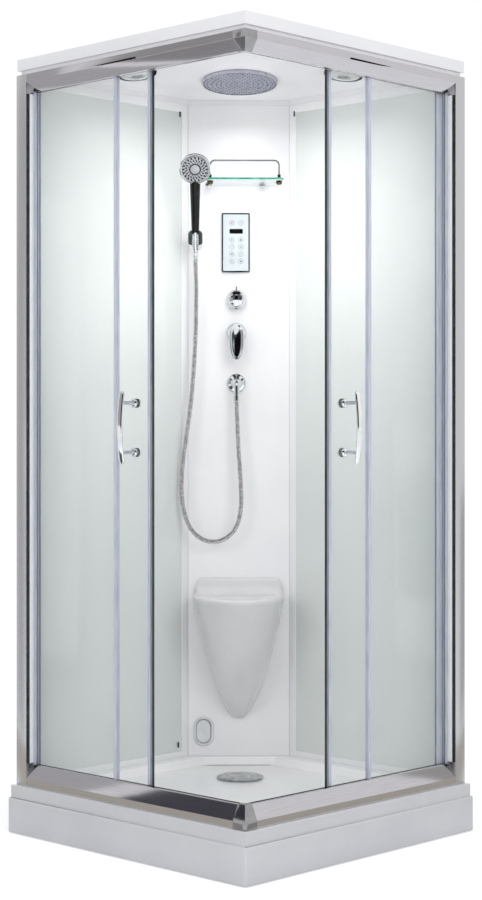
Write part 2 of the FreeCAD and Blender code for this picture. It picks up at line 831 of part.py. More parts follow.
def top_rail_loops():
    wall = "rail_wall"
    inner_out = f"({RAIL_OUT} - {wall})"
    inner_lip = f"({FIXED} + {HALF_SLOT} + {wall})"
    return [[
        (RAIL_OUT, ROOF_SEAT),
        (RAIL_OUT, f"{ROOF_SEAT} - rail_foot"),
        (f"{RAIL_OUT} - rail_slant", TOP_RAIL_BASE),
        (f"{FIXED} + {HALF_SLOT}", TOP_RAIL_BASE),
        (f"{FIXED} + {HALF_SLOT}", f"{TOP_RAIL_BASE} + top_slot_depth"),
        (f"{FIXED} - {HALF_SLOT}", f"{TOP_RAIL_BASE} + top_slot_depth"),
        (f"{FIXED} - {HALF_SLOT}", TOP_RAIL_BASE),
        (LIP_FACE, TOP_RAIL_BASE),
        (LIP_FACE, TRACK),
        (inner_lip, TRACK),
        (inner_lip, f"{TOP_RAIL_BASE} + {wall}"),
        (f"{inner_out} - rail_slant + 1", f"{TOP_RAIL_BASE} + {wall}"),
        (inner_out, f"{ROOF_SEAT} - rail_foot + 1"),
        (inner_out, f"{ROOF_SEAT} - {wall}"),
        (f"{RAIL_IN} + {wall}", f"{ROOF_SEAT} - {wall}"),
        (f"{RAIL_IN} + {wall}", f"{TRACK} + 6"),
        (RAIL_IN, f"{TRACK} + 6"),
        (RAIL_IN, ROOF_SEAT),
    ]]


def mitre(label, side, thing, levels):
    """Keeps the part of a rail on its own side of the cabin's diagonal plane."""
    beyond = f"({HALF} + 10)"
    corners = [("0", "0"), (beyond, f"-{beyond}"), (f"-{beyond}", f"-{beyond}")]
    if side == "right":
        corners = [("0", "0"), (beyond, f"-{beyond}"), (beyond, beyond)]
    keep = prism(f"{label}_mitre", "XY_Plane", [corners], *levels)
    return common(label, thing, keep)


def make_rails(side):
    for name, loops, levels in (
        ("bottom_rail", bottom_rail_loops(), ("0", "rim_height * 2")),
        ("top_rail", top_rail_loops(), (f"{TOP_RAIL_BASE} - 10", f"{ROOF_SEAT} + 10")),
    ):
        label = f"{name}_{side}"
        bar = side_prism(f"{label}_bar", side, loops, "rail_inset", POST_START)
        node(label, mitre(label, side, bar, levels))


def connector(label, faces, levels):
    """A cap over the mitred corner of two rails, a leg along each."""
    legs = []
    for side in ("left", "right"):
        leg = side_prism(f"{label}_{side}_leg", side, [faces],
                         "rail_inset - connector_wall", "rail_inset + connector_leg")
        legs.append(mitre(f"{label}_{side}", side, leg, levels))
    return fuse(label, *legs)


def make_connectors():
    cap = "connector_wall"
    slope_in = f"({RAIL_OUT} - rail_slant)"
    bottom = connector("connector_bottom", [
        (f"{RAIL_OUT} + {cap}", "rim_height"),
        (f"{RAIL_OUT} + {cap}", "rim_height + rail_foot"),
        (f"{slope_in} + {cap}", f"{RAIL_TOP} + {cap}"),
        (f"{FIXED} + {HALF_SLOT}", f"{RAIL_TOP} + {cap}"),
        (f"{FIXED} + {HALF_SLOT}", RAIL_TOP),
        (slope_in, RAIL_TOP),
        (RAIL_OUT, "rim_height + rail_foot"),
        (RAIL_OUT, "rim_height"),
    ], ("0", "rim_height * 2"))
    top = connector("connector_top", [
        (f"{RAIL_OUT} + {cap}", ROOF_SEAT),
        (f"{RAIL_OUT} + {cap}", f"{ROOF_SEAT} - rail_foot"),
        (f"{slope_in} + {cap}", f"{TOP_RAIL_BASE} - {cap}"),
        (f"{FIXED} + {HALF_SLOT}", f"{TOP_RAIL_BASE} - {cap}"),
        (f"{FIXED} + {HALF_SLOT}", TOP_RAIL_BASE),
        (slope_in, TOP_RAIL_BASE),
        (RAIL_OUT, f"{ROOF_SEAT} - rail_foot"),
        (RAIL_OUT, ROOF_SEAT),
    ], (f"{TOP_RAIL_BASE} - 10", f"{ROOF_SEAT} + 10"))
    node("corner_connectors", group("corner_connectors", bottom, top))


def make_post(side):
    wall = "rail_wall"
    slot_end = f"({POST_START} + post_slot)"
    outline = [
        (POST_END, POST_IN),
        (POST_END, RAIL_OUT),
        (POST_START, RAIL_OUT),
        (POST_START, f"{FIXED} + {HALF_SLOT}"),
        (slot_end, f"{FIXED} + {HALF_SLOT}"),
        (slot_end, f"{FIXED} - {HALF_SLOT}"),
        (POST_START, f"{FIXED} - {HALF_SLOT}"),
        (POST_START, POST_IN),
    ]
    chamber = [
        (f"{POST_END} - {wall}", f"{FIXED} + {HALF_SLOT} + {wall}"),
        (f"{POST_END} - {wall}", f"{RAIL_OUT} - {wall}"),
        (f"{POST_START} + {wall}", f"{RAIL_OUT} - {wall}"),
        (f"{POST_START} + {wall}", f"{FIXED} + {HALF_SLOT} + {wall}"),
    ]
    loops = [[side_point(side, *point) for point in loop] for loop in (outline, chamber)]
    label = f"wall_post_{side}"
    node(label, prism(label, "XY_Plane", loops, "rim_height", ROOF_SEAT))


def make_fixed_glass(side):
    label = f"fixed_glass_{side}"
    glass = side_box(
        label,
        side,
        (FREE_EDGE, f"{POST_START} + post_slot - 1"),
        (f"{FIXED} - {HALF_GLASS}", f"{FIXED} + {HALF_GLASS}"),
        (f"{RAIL_TOP} - slot_depth", f"{TOP_RAIL_BASE} + top_slot_depth"),
    )
    node(label, glass)


def edge_seal(side):
    """A clear channel pushed over the free edge of the fixed glass, with a fin inwards."""
    levels = (RAIL_TOP, TOP_RAIL_BASE)
    tip = f"({FREE_EDGE} - edge_seal_wall)"
    end = f"({FREE_EDGE} + edge_seal_width)"
    outer = f"({FIXED} + {HALF_GLASS} + edge_seal_wall)"
    inner = f"({FIXED} - {HALF_GLASS} - edge_seal_wall)"
    fin = f"({inner} - 2)"
    outline = [
        (tip, inner),
        (tip, outer),
        (end, outer),
        (end, f"{FIXED} + {HALF_GLASS}"),
        (FREE_EDGE, f"{FIXED} + {HALF_GLASS}"),
        (FREE_EDGE, f"{FIXED} - {HALF_GLASS}"),
        (end, f"{FIXED} - {HALF_GLASS}"),
        (end, inner),
        (f"{tip} + 2", inner),
        (f"{tip} + 2", fin),
        (tip, fin),
    ]
    points = [side_point(side, *point) for point in outline]
    return prism(f"edge_seal_{side}", "XY_Plane", [points], *levels)


def gasket(side):
    """Glazing beads on both faces of the fixed glass, against the wall post."""
    strips = []
    for name, near, far in (
        ("outer", f"{FIXED} + {HALF_GLASS}", f"{FIXED} + {HALF_GLASS} + gasket_bulge"),
        ("inner", f"{FIXED} - {HALF_GLASS} - gasket_bulge / 2", f"{FIXED} - {HALF_GLASS}"),
    ):
        strips.append(side_box(
            f"gasket_{name}_{side}",
            side,
            (f"{POST_START} - gasket_width", POST_START),
            (near, far),
            (RAIL_TOP, TOP_RAIL_BASE),
        ))
    return strips


def door_lead(side):
    """The front edge of a door's glass as it stands, along the glazed face."""
    return f"({DOOR_REACH} - door_rest_{side})"


def make_door(side):
    lead = door_lead(side)
    trail = f"({lead} + {DOOR_WIDTH})"
    outer = f"({DOOR} + {HALF_GLASS})"
    inner = f"({DOOR} - {HALF_GLASS})"
    levels = (DOOR_BASE, DOOR_TOP)
    stud_along = f"({lead} + handle_setback)"
    stud_levels = ["(handle_level - stud_spacing / 2)", "(handle_level + stud_spacing / 2)"]
    roller_places = {"front": f"({lead} + roller_inset)", "rear": f"({trail} - roller_inset)"}
    outwards = f"{side}_out"

    glass = side_box(f"door_pane_{side}", side, (lead, trail), (inner, outer), levels)
    holes = []
    for index, level in enumerate(stud_levels):
        at = (*side_point(side, stud_along, f"{inner} - 5"), level)
        holes.append(cylinder(f"stud_hole_{side}_{index}", "stud_radius", "glass_thickness + 10",
                              at, outwards))
    for name, along in roller_places.items():
        at = (*side_point(side, along, f"{inner} - 5"), AXLE_LEVEL)
        holes.append(cylinder(f"axle_hole_{side}_{name}", "axle_radius", "glass_thickness + 10",
                              at, outwards))
    node(f"door_glass_{side}", cut(f"door_glass_{side}", glass, *holes))

    # The magnet profile ends in a 45 degree nose on the cabin's diagonal plane when shut.
    grip_out = f"({outer} + magnet_wall)"
    grip_in = f"({inner} - magnet_wall)"
    nose = f"({lead} - magnet_nose)"
    outline = [
        (nose, outer),
        (f"{nose} + magnet_wall", grip_out),
        (f"{lead} + magnet_profile - magnet_nose", grip_out),
        (f"{lead} + magnet_profile - magnet_nose", outer),
        (lead, outer),
        (lead, inner),
        (f"{lead} + magnet_profile - magnet_nose", inner),
        (f"{lead} + magnet_profile - magnet_nose", grip_in),
        (f"{lead} + 1", grip_in),
        (f"{nose} + glass_thickness", inner),
    ]
    points = [side_point(side, *point) for point in outline]
    seal_levels = (f"{DOOR_BASE} + glide_grip", f"{DOOR_TOP} - 40")
    label = f"magnet_seal_{side}"
    node(label, prism(label, "XY_Plane", [points], *seal_levels))

    # The profile on the rear edge closes the gap to the fixed glass.
    back_out = f"({outer} + trailing_wall)"
    back_in = f"({inner} - trailing_wall)"
    start = f"({trail} - trailing_profile)"
    outline = [
        (start, outer),
        (start, back_out),
        (f"{trail} + trailing_wall", back_out),
        (f"{trail} + trailing_wall", back_in),
        (start, back_in),
        (start, inner),
        (trail, inner),
        (trail, outer),
    ]
    points = [side_point(side, *point) for point in outline]
    label = f"trailing_profile_{side}"
    node(label, prism(label, "XY_Plane", [points], *seal_levels))

    # Running gear: axles through the glass at the top, guide shoes at the bottom.
    gear = []
    wheel_centre = f"({outer} + 1 + roller_width / 2)"
    for name, along in roller_places.items():
        axle = turned(f"axle_{side}_{name}", [
            ("0", "-axle_cap_height"),
            ("axle_cap", "-axle_cap_height"),
            ("axle_cap", "0"),
            ("axle_radius", "0"),
            ("axle_radius", "glass_thickness + 2 + roller_width"),
            ("0", "glass_thickness + 2 + roller_width"),
        ], (*side_point(side, along, inner), AXLE_LEVEL), outwards)
        gear.append(axle)
        label = f"top_roller_{side}_{name}"
        node(label, turned(label, [
            ("axle_radius + running_gap", "-roller_width / 2"),
            ("roller_radius", "-roller_width / 2"),
            ("roller_radius", "roller_width / 2"),
            ("axle_radius + running_gap", "roller_width / 2"),
        ], (*side_point(side, along, wheel_centre), AXLE_LEVEL), outwards))
    for name, along in roller_places.items():
        span = (f"{along} - glide_width / 2", f"{along} + glide_width / 2")
        grip = side_box(f"glide_block_{side}_{name}", side, span,
                        (f"{inner} - glide_wall", f"{outer} + glide_wall"),
                        (f"{DOOR_BASE} - 3", f"{DOOR_BASE} + glide_grip"))
        groove = side_box(f"glide_groove_{side}_{name}", side, span, (inner, outer),
                          (DOOR_BASE, f"{DOOR_BASE} + glide_grip"))
        shoe = cut(f"glide_shoe_{side}_{name}", grip, groove)
        blade = side_box(f"glide_blade_{side}_{name}", side, span,
                         (f"{DOOR} - glide_blade / 2", f"{DOOR} + glide_blade / 2"),
                         (GLIDE_TIP, f"{DOOR_BASE} - 3"))
        gear.append(fuse(f"glide_{side}_{name}", shoe, blade))
    node(f"door_hangers_{side}", group(f"door_hangers_{side}", *gear))

    # Handle: two studs with knobs on both faces of the glass, and a bowed bar.
    studs = []
    for index, level in enumerate(stud_levels):
        studs.append(turned(f"stud_{side}_{index}", [
            ("0", "-knob_height - glass_thickness"),
            ("knob_radius * 0.7", "-knob_height - glass_thickness"),
            ("knob_radius", "-knob_height * 0.6 - glass_thickness"),
            ("knob_radius", "-washer_height - glass_thickness"),
            ("knob_radius * 0.8", "-glass_thickness"),
            ("stud_radius", "-glass_thickness"),
            ("stud_radius", "0"),
            ("knob_radius * 0.8", "0"),
            ("knob_radius", "washer_height"),
            ("knob_radius", "knob_height * 0.6"),
            ("stud_radius", "knob_height"),
            ("stud_radius", "stud_length"),
            ("0", "stud_length"),
        ], (*side_point(side, stud_along, outer), level), outwards))
    node(f"handle_studs_{side}", group(f"handle_studs_{side}", *studs))
    node(f"handle_bar_{side}", handle_bar(side))


def handle_bar(side):
    """A flat bar bowed outwards, resting with its inner face on the stud ends."""
    half = size("bar_length") / 2
    bow = size("bar_bow")
    thick = size("bar_thickness")
    stud = size("stud_spacing") / 2
    # One circle through both stud ends and the crown, one bar thickness apart.
    radius = (half ** 2 + bow ** 2) / (2 * bow)
    face = math.sqrt(radius ** 2 - stud ** 2)
    inner_radius = radius
    outer_radius = radius + thick
    tilt = math.asin(half / radius)

    def on_arc(length, angle):
        return FreeCAD.Vector(length * math.cos(angle) - face, 0, length * math.sin(angle))

    corners = [
        on_arc(inner_radius, -tilt),
        on_arc(inner_radius, tilt),
        on_arc(outer_radius, tilt),
        on_arc(outer_radius, -tilt),
    ]
    outline = Part.Wire([
        Part.Arc(corners[0], on_arc(inner_radius, 0), corners[1]).toShape(),
        Part.LineSegment(corners[1], corners[2]).toShape(),
        Part.Arc(corners[2], on_arc(outer_radius, 0), corners[3]).toShape(),
        Part.LineSegment(corners[3], corners[0]).toShape(),
    ])
    width = size("bar_width")
    bar = Part.Face(outline).extrude(FreeCAD.Vector(0, width, 0))
    bar.translate(FreeCAD.Vector(0, -width / 2, 0))
    thing = doc.addObject("Part::Feature", f"handle_bar_{side}")
    thing.Shape = bar
    lead = door_lead(side)
    along = f"({lead} + handle_setback)"
    outward = f"({DOOR} + {HALF_GLASS} + stud_length)"
    turn = TURNS["up"] if side == "right" else FreeCAD.Rotation(FreeCAD.Vector(0, 0, 1), -90)
    return place(thing, (*side_point(side, along, outward), "handle_level"), turn)


# ------------------------------------------------------------ walls and roof

def make_wall(side):
    """A frame profile round a rear wall panel; "left" stands on -X, "right" on +Y."""
    front = f"-{POST_IN}"
    back = COLUMN_CORNER
    opening_back = f"({COLUMN_CORNER} - wall_frame_edge)"
    base = ("rim_height + wall_frame_base")
    head = f"{ROOF_SEAT} - wall_frame_head"
    opening = ((f"{front} + wall_frame_base", opening_back), (base, head))
    rebate = (
        (f"{front} + wall_frame_base - wall_frame_rebate", f"{opening_back} + wall_frame_rebate"),
        (f"{base} - wall_frame_rebate", f"{head} + wall_frame_rebate"),
    )
    lip = f"{WALL_FACE} + wall_frame_lip"

    def slab(label, along, depth, z):
        """Along runs away from the glazed face; depth is outwards from the centre."""
        x = (f"-({depth[1]})", f"-({depth[0]})")
        if side == "left":
            return box(label, x, along, z)
        mirrored = (f"-({along[1]})", f"-({along[0]})")
        return box(label, mirrored, depth, z)

    ring = slab(f"wall_ring_{side}", (front, back), (WALL_FACE, WALL_BACK), ("rim_height", ROOF_SEAT))
    window = slab(f"wall_window_{side}", opening[0], (WALL_FACE, lip), opening[1])
    seat = slab(f"wall_rebate_{side}", rebate[0], (lip, WALL_BACK), rebate[1])
    frame = cut(f"wall_frame_{side}", ring, window, seat)
    panel = slab(f"wall_panel_{side}", rebate[0], (lip, f"{lip} + wall_panel_thickness"), rebate[1])
    node(f"wall_panel_{side}", panel)
    node(f"wall_frame_{side}", frame)


def make_column():
    half = "(column_width / 2)"
    skin = "column_skin"
    flange = "(column_flange / sqrt(2))"
    fold = f"({skin} * 0.414)"
    leg = f"({skin} / sqrt(2))"
    plate = prism("column_plate", "XY_Plane", [[
        ("0", f"-{half}"),
        ("0", half),
        (f"-{flange}", f"{half} + {flange}"),
        (f"-{flange} - {leg}", f"{half} + {flange} - {leg}"),
        (f"-{skin}", f"{half} - {fold}"),
        (f"-{skin}", f"-{half} + {fold}"),
        (f"-{flange} - {leg}", f"-{half} - {flange} + {leg}"),
        (f"-{flange}", f"-{half} - {flange}"),
    ]], "rim_height", ROOF_SEAT)
    place(plate, column=True)
    holes = []
    levels = {"diverter": "diverter_level", "mixer": "mixer_level", "outlet": "outlet_level"}
    for name, level in levels.items():
        holes.append(cylinder(f"{name}_opening", "valve_hole", "column_skin * 4",
                              ("-column_skin * 2", "valve_centre", level), "out", column=True))
    holes.append(cylinder("steam_opening", "valve_hole", "column_skin * 4",
                          ("-column_skin * 2", "steam_across", "steam_level"), "out", column=True))
    node("column_panel", cut("column_panel", plate, *holes))


def ceiling_space(label, grow):
    """The space under the hipped ceiling; grow = the skin for its outer face."""
    beyond = 20
    back = f"({WALL_FACE} + {grow})"
    front = f"({RAIL_IN} + {grow})"
    edge = f"({CEILING_EDGE} + {grow})"
    middle = f"(({front} - {back}) / 2)"
    ridge = f"({edge} + ceiling_side_slope * ({back} + {front}) / 2)"
    plan = prism(f"{label}_plan", "XY_Plane", [[
        (f"-{back}", f"-{front}"),
        (front, f"-{front}"),
        (front, back),
        (f"-({COLUMN_CORNER} + {grow})", back),
        (f"-{back}", f"({COLUMN_CORNER} + {grow})"),
    ]], ROOF_SEAT, f"{ridge} + {beyond}")
    east_west = prism(f"{label}_gable_x", "XZ_Plane", [[
        (f"-{back}", ROOF_SEAT),
        (front, ROOF_SEAT),
        (front, edge),
        (middle, ridge),
        (f"-{back}", edge),
    ]], f"-{HALF}", HALF)
    north_south = prism(f"{label}_gable_y", "YZ_Plane", [[
        (f"-{front}", ROOF_SEAT),
        (back, ROOF_SEAT),
        (back, edge),
        (f"-{middle}", ridge),
        (f"-{front}", edge),
    ]], f"-{HALF}", HALF)
    far = "(tray_side * sqrt(2))"
    strip = prism(f"{label}_strip", "XZ_Plane", [[
        ("-tray_side", ROOF_SEAT),
        (far, ROOF_SEAT),
        (far, f"{edge} + ceiling_centre_slope * {far}"),
        ("0", edge),
        ("-tray_side", edge),
    ]], "-tray_side", "tray_side")
    place(strip, column=True)
    return common(label, plan, east_west, north_south, strip)


def make_roof():
    inner = f"({ROOF_HALF} - roof_skin)"
    lip = f"({ROOF_HALF} - roof_lip_inset)"
    fascia = box("roof_fascia", (f"-{ROOF_HALF}", ROOF_HALF), (f"-{ROOF_HALF}", ROOF_HALF),
                 (FASCIA_BASE, FASCIA_TOP))
    seat = box("roof_seat_block", (f"-{lip}", lip), (f"-{lip}", lip), (ROOF_SEAT, FASCIA_BASE))
    trough = box("roof_trough", (f"-{lip} + roof_skin", f"{lip} - roof_skin"),
                 (f"-{lip} + roof_skin", f"{lip} - roof_skin"), (f"{ROOF_SEAT} + roof_skin", FASCIA_BASE))
    bowl = box("roof_bowl", (f"-{inner}", inner), (f"-{inner}", inner),
               (f"{FASCIA_BASE} + roof_skin", FASCIA_TOP))
    web = box("roof_web", (f"-{lip} + roof_skin", f"{lip} - roof_skin"),
              (f"-{lip} + roof_skin", f"{lip} - roof_skin"), (FASCIA_BASE, f"{FASCIA_BASE} + roof_skin"))
    rim = cut("roof_rim", fuse("roof_rim_blocks", fascia, seat), trough, bowl, web)
    crown = ceiling_space("roof_crown", "roof_skin")
    room = ceiling_space("roof_room", "0")
    shell = fuse("roof_shell", rim, crown)
    neck = cylinder("rain_neck_hole", "rain_neck + knob_clearance", "rain_neck_length * 2",
                    ("rain_distance", "0", f"{RAIN_LEVEL} - rain_neck_length"), "up", column=True)
    riser = cylinder("riser_hole", "riser_radius * 2", "rail_height",
                     ("-manifold_out", "0", f"{ROOF_SEAT} - 20"), column=True)
    lamp_holes = [
        lamp_part(f"lamp_hole_{name}", name, [
            ("0", "-lamp_body_height"),
            ("lamp_body + knob_clearance", "-lamp_body_height"),
            ("lamp_body + knob_clearance", "lamp_body_height"),
            ("0", "lamp_body_height"),
        ])
        for name in ("left", "right")
    ]
    node("roof", cut("roof", shell, room, neck, riser, *lamp_holes))


def ceiling_turns():
    side = math.degrees(math.atan(size("ceiling_side_slope")))
    centre = math.degrees(math.atan(size("ceiling_centre_slope")))
    return {
        "left": FreeCAD.Rotation(FreeCAD.Vector(0, 1, 0), -side),
        "right": FreeCAD.Rotation(FreeCAD.Vector(1, 0, 0), -side),
        "centre": FreeCAD.Rotation(FreeCAD.Vector(0, 1, 0), -centre),
    }


def lamp_part(label, side, outline):
    """A turned piece square to one sloping side of the ceiling; height runs up."""
    if side == "left":
        at = (f"-{WALL_FACE} + lamp_from_wall", "-lamp_along", LAMP_LEVEL)
    else:
        at = ("lamp_along", f"{WALL_FACE} - lamp_from_wall", LAMP_LEVEL)
    return turned(label, outline, at, ceiling_turns()[side])


def make_ceiling_fittings():
    lamps = []
    for side in ("left", "right"):
        lamps.append(lamp_part(f"lamp_{side}", side, [
            ("0", "-lamp_thickness - lamp_lens_drop"),
            ("lamp_radius * 0.5", "-lamp_thickness - lamp_lens_drop * 0.75"),
            ("lamp_radius - lamp_rim", "-lamp_thickness"),
            ("lamp_radius - 2", "-lamp_thickness"),
            ("lamp_radius", "-lamp_thickness + 2"),
            ("lamp_radius", "0"),
            ("lamp_body", "0"),
            ("lamp_body", "lamp_body_height"),
            ("0", "lamp_body_height"),
        ]))
    node("ceiling_lamps", group("ceiling_lamps", *lamps))
    rain = turned("rain_shower_head", [
        ("0", "-rain_thickness + 1"),
        ("rain_radius - rain_rim", "-rain_thickness + 1"),
        ("rain_radius - rain_rim + 1", "-rain_thickness"),
        ("rain_radius - 1", "-rain_thickness"),
        ("rain_radius", "-rain_thickness + 1"),
        ("rain_radius", "0"),
        ("rain_neck", "0"),
        ("rain_neck", "rain_neck_length"),
        ("0", "rain_neck_length"),
    ], ("rain_distance", "0", RAIN_LEVEL), ceiling_turns()["centre"], column=True)
    node("rain_shower_head", rain)


# ------------------------------------------------------- fittings on the column

def seat_section(level, shrink):
    """Half width and depth of the seat's body at a height, and its outline wire."""
    share = (level - size("seat_tip")) / (size("seat_level") - size("seat_tip"))
    half = size("seat_half_width") * share ** 0.6 - shrink
    depth = size("seat_depth") * share ** 0.75 - shrink
    # The outline is a rounded front: half turns of a squarish ellipse.
    points = []
    steps = 12
    for step in range(steps + 1):
        angle = math.pi * step / steps - math.pi / 2
        along = abs(math.cos(angle)) ** 0.8
        across = abs(math.sin(angle)) ** 0.8 * (1 if angle > 0 else -1)
        points.append(FreeCAD.Vector(depth * along, half * across, level))
    curve = Part.BSplineCurve()
    curve.interpolate(points)
    back = Part.LineSegment(points[-1], points[0])
    return Part.Wire([curve.toShape(), back.toShape()])


def make_seat():
    top = size("seat_level")
    tip = size("seat_tip")
    wall = size("seat_wall")
    height = top - tip
    shares = (0.02, 0.08, 0.2, 0.4, 0.65, 0.88, 1.0)
    outer = Part.makeLoft([seat_section(tip + height * share, 0) for share in shares], True)
    inner_shares = (0.12, 0.25, 0.45, 0.65, 0.85)
    inner_levels = [tip + height * share for share in inner_shares] + [top - wall]
    inner = Part.makeLoft([seat_section(level, wall) for level in inner_levels], True)
    shell = outer.cut(inner)
    half = size("seat_half_width")
    upstand = Part.makeBox(size("seat_upstand_depth"), 2 * half - 12, size("seat_upstand") + wall)
    upstand.translate(FreeCAD.Vector(0, -half + 6, top - wall))
    edges = [e for e in upstand.Edges if e.CenterOfMass.x > size("seat_upstand_depth") / 2
             and e.CenterOfMass.z > top]
    upstand = upstand.makeFillet(size("seat_upstand_depth") * 0.7, [
        e for e in edges if e.CenterOfMass.z > top + size("seat_upstand") - 1])
    shell = shell.fuse(upstand)
    thing = doc.addObject("Part::Feature", "seat")
    thing.Shape = shell
    node("seat", place(thing, column=True))


def make_shelf():
    left = SHELF_LEFT
    right = SHELF_RIGHT
    far = "(shelf_gap + shelf_depth)"
    glass = prism("shelf_glass", "XY_Plane", [[
        ("shelf_gap", f"{left} + shelf_chamfer"),
        (f"{far} - shelf_chamfer", left),
        (far, f"{left} + shelf_chamfer"),
        (far, f"{right} - shelf_chamfer"),
        (f"{far} - shelf_chamfer", right),
        ("shelf_gap", f"{right} - shelf_chamfer"),
    ]], "shelf_level", "shelf_level + shelf_glass")
    node("shelf_glass", place(glass, column=True))
    top = "(shelf_level + shelf_glass)"
    grips = []
    for index, sign in enumerate((-1, 1)):
        across = f"({SHELF_CENTRE} - shelf_bracket_offset + {sign} * shelf_bracket_spacing / 2)"
        bracket = cylinder(f"shelf_bracket_{index}", "shelf_bracket_radius", "shelf_bracket_length",
                           ("0", across, "shelf_level + shelf_glass / 2"), "out", column=True)
        slot = box(f"shelf_bracket_slot_{index}", ("shelf_gap", "shelf_bracket_length + 1"),
                   (f"{across} - shelf_bracket_radius", f"{across} + shelf_bracket_radius"),
                   ("shelf_level", top), column=True)
        grips.append(cut(f"shelf_grip_{index}", bracket, slot))
    gallery_out = f"({far} - gallery_setback)"
    for index, across in enumerate((f"({left} + gallery_inset)", f"({right} - gallery_inset)")):
        clamp = cylinder(f"gallery_clamp_{index}", "gallery_clamp", "gallery_clamp_height",
                         (gallery_out, across, "shelf_level + shelf_glass / 2 - gallery_clamp_height / 2"),
                         column=True)
        slot = box(f"gallery_clamp_slot_{index}",
                   (f"{gallery_out} - gallery_clamp", f"{gallery_out} + gallery_clamp"),
                   (f"{across} - gallery_clamp", f"{across} + gallery_clamp"),
                   ("shelf_level", top), column=True)
        grips.append(cut(f"gallery_grip_{index}", clamp, slot))
    node("shelf_clamps", group("shelf_clamps", *grips))
    reach = size("shelf_width") / 2 - size("gallery_inset")
    centre = size("shelf_setback") - size("column_width") / 2
    first = centre - reach
    last = centre + reach
    out = size("shelf_gap") + size("shelf_depth") - size("gallery_setback")
    foot = size("shelf_level") + size("shelf_glass") / 2 + size("gallery_clamp_height") / 2
    bar_level = size("shelf_level") + size("shelf_glass") + size("gallery_height")
    node("shelf_rail", tube("shelf_rail", [
        (out, first, foot),
        (out, first, bar_level),
        (out, last, bar_level),
        (out, last, foot),
    ], size("gallery_radius"), bend=size("gallery_bend")))


def make_control_panel():
    low = "(panel_level - panel_height / 2)"
    high = "(panel_level + panel_height / 2)"
    left = "(panel_centre - panel_width / 2)"
    right = "(panel_centre + panel_width / 2)"
    block = box("panel_block", ("0", "panel_depth"), (left, right), (low, high), column=True)
    face = box("panel_face_recess", ("panel_depth - panel_recess", "panel_depth"),
               (f"{left} + panel_frame", f"{right} - panel_frame"),
               (f"{low} + panel_frame", f"{high} - panel_frame"), column=True)
    node("control_panel", cut("control_panel", block, face))


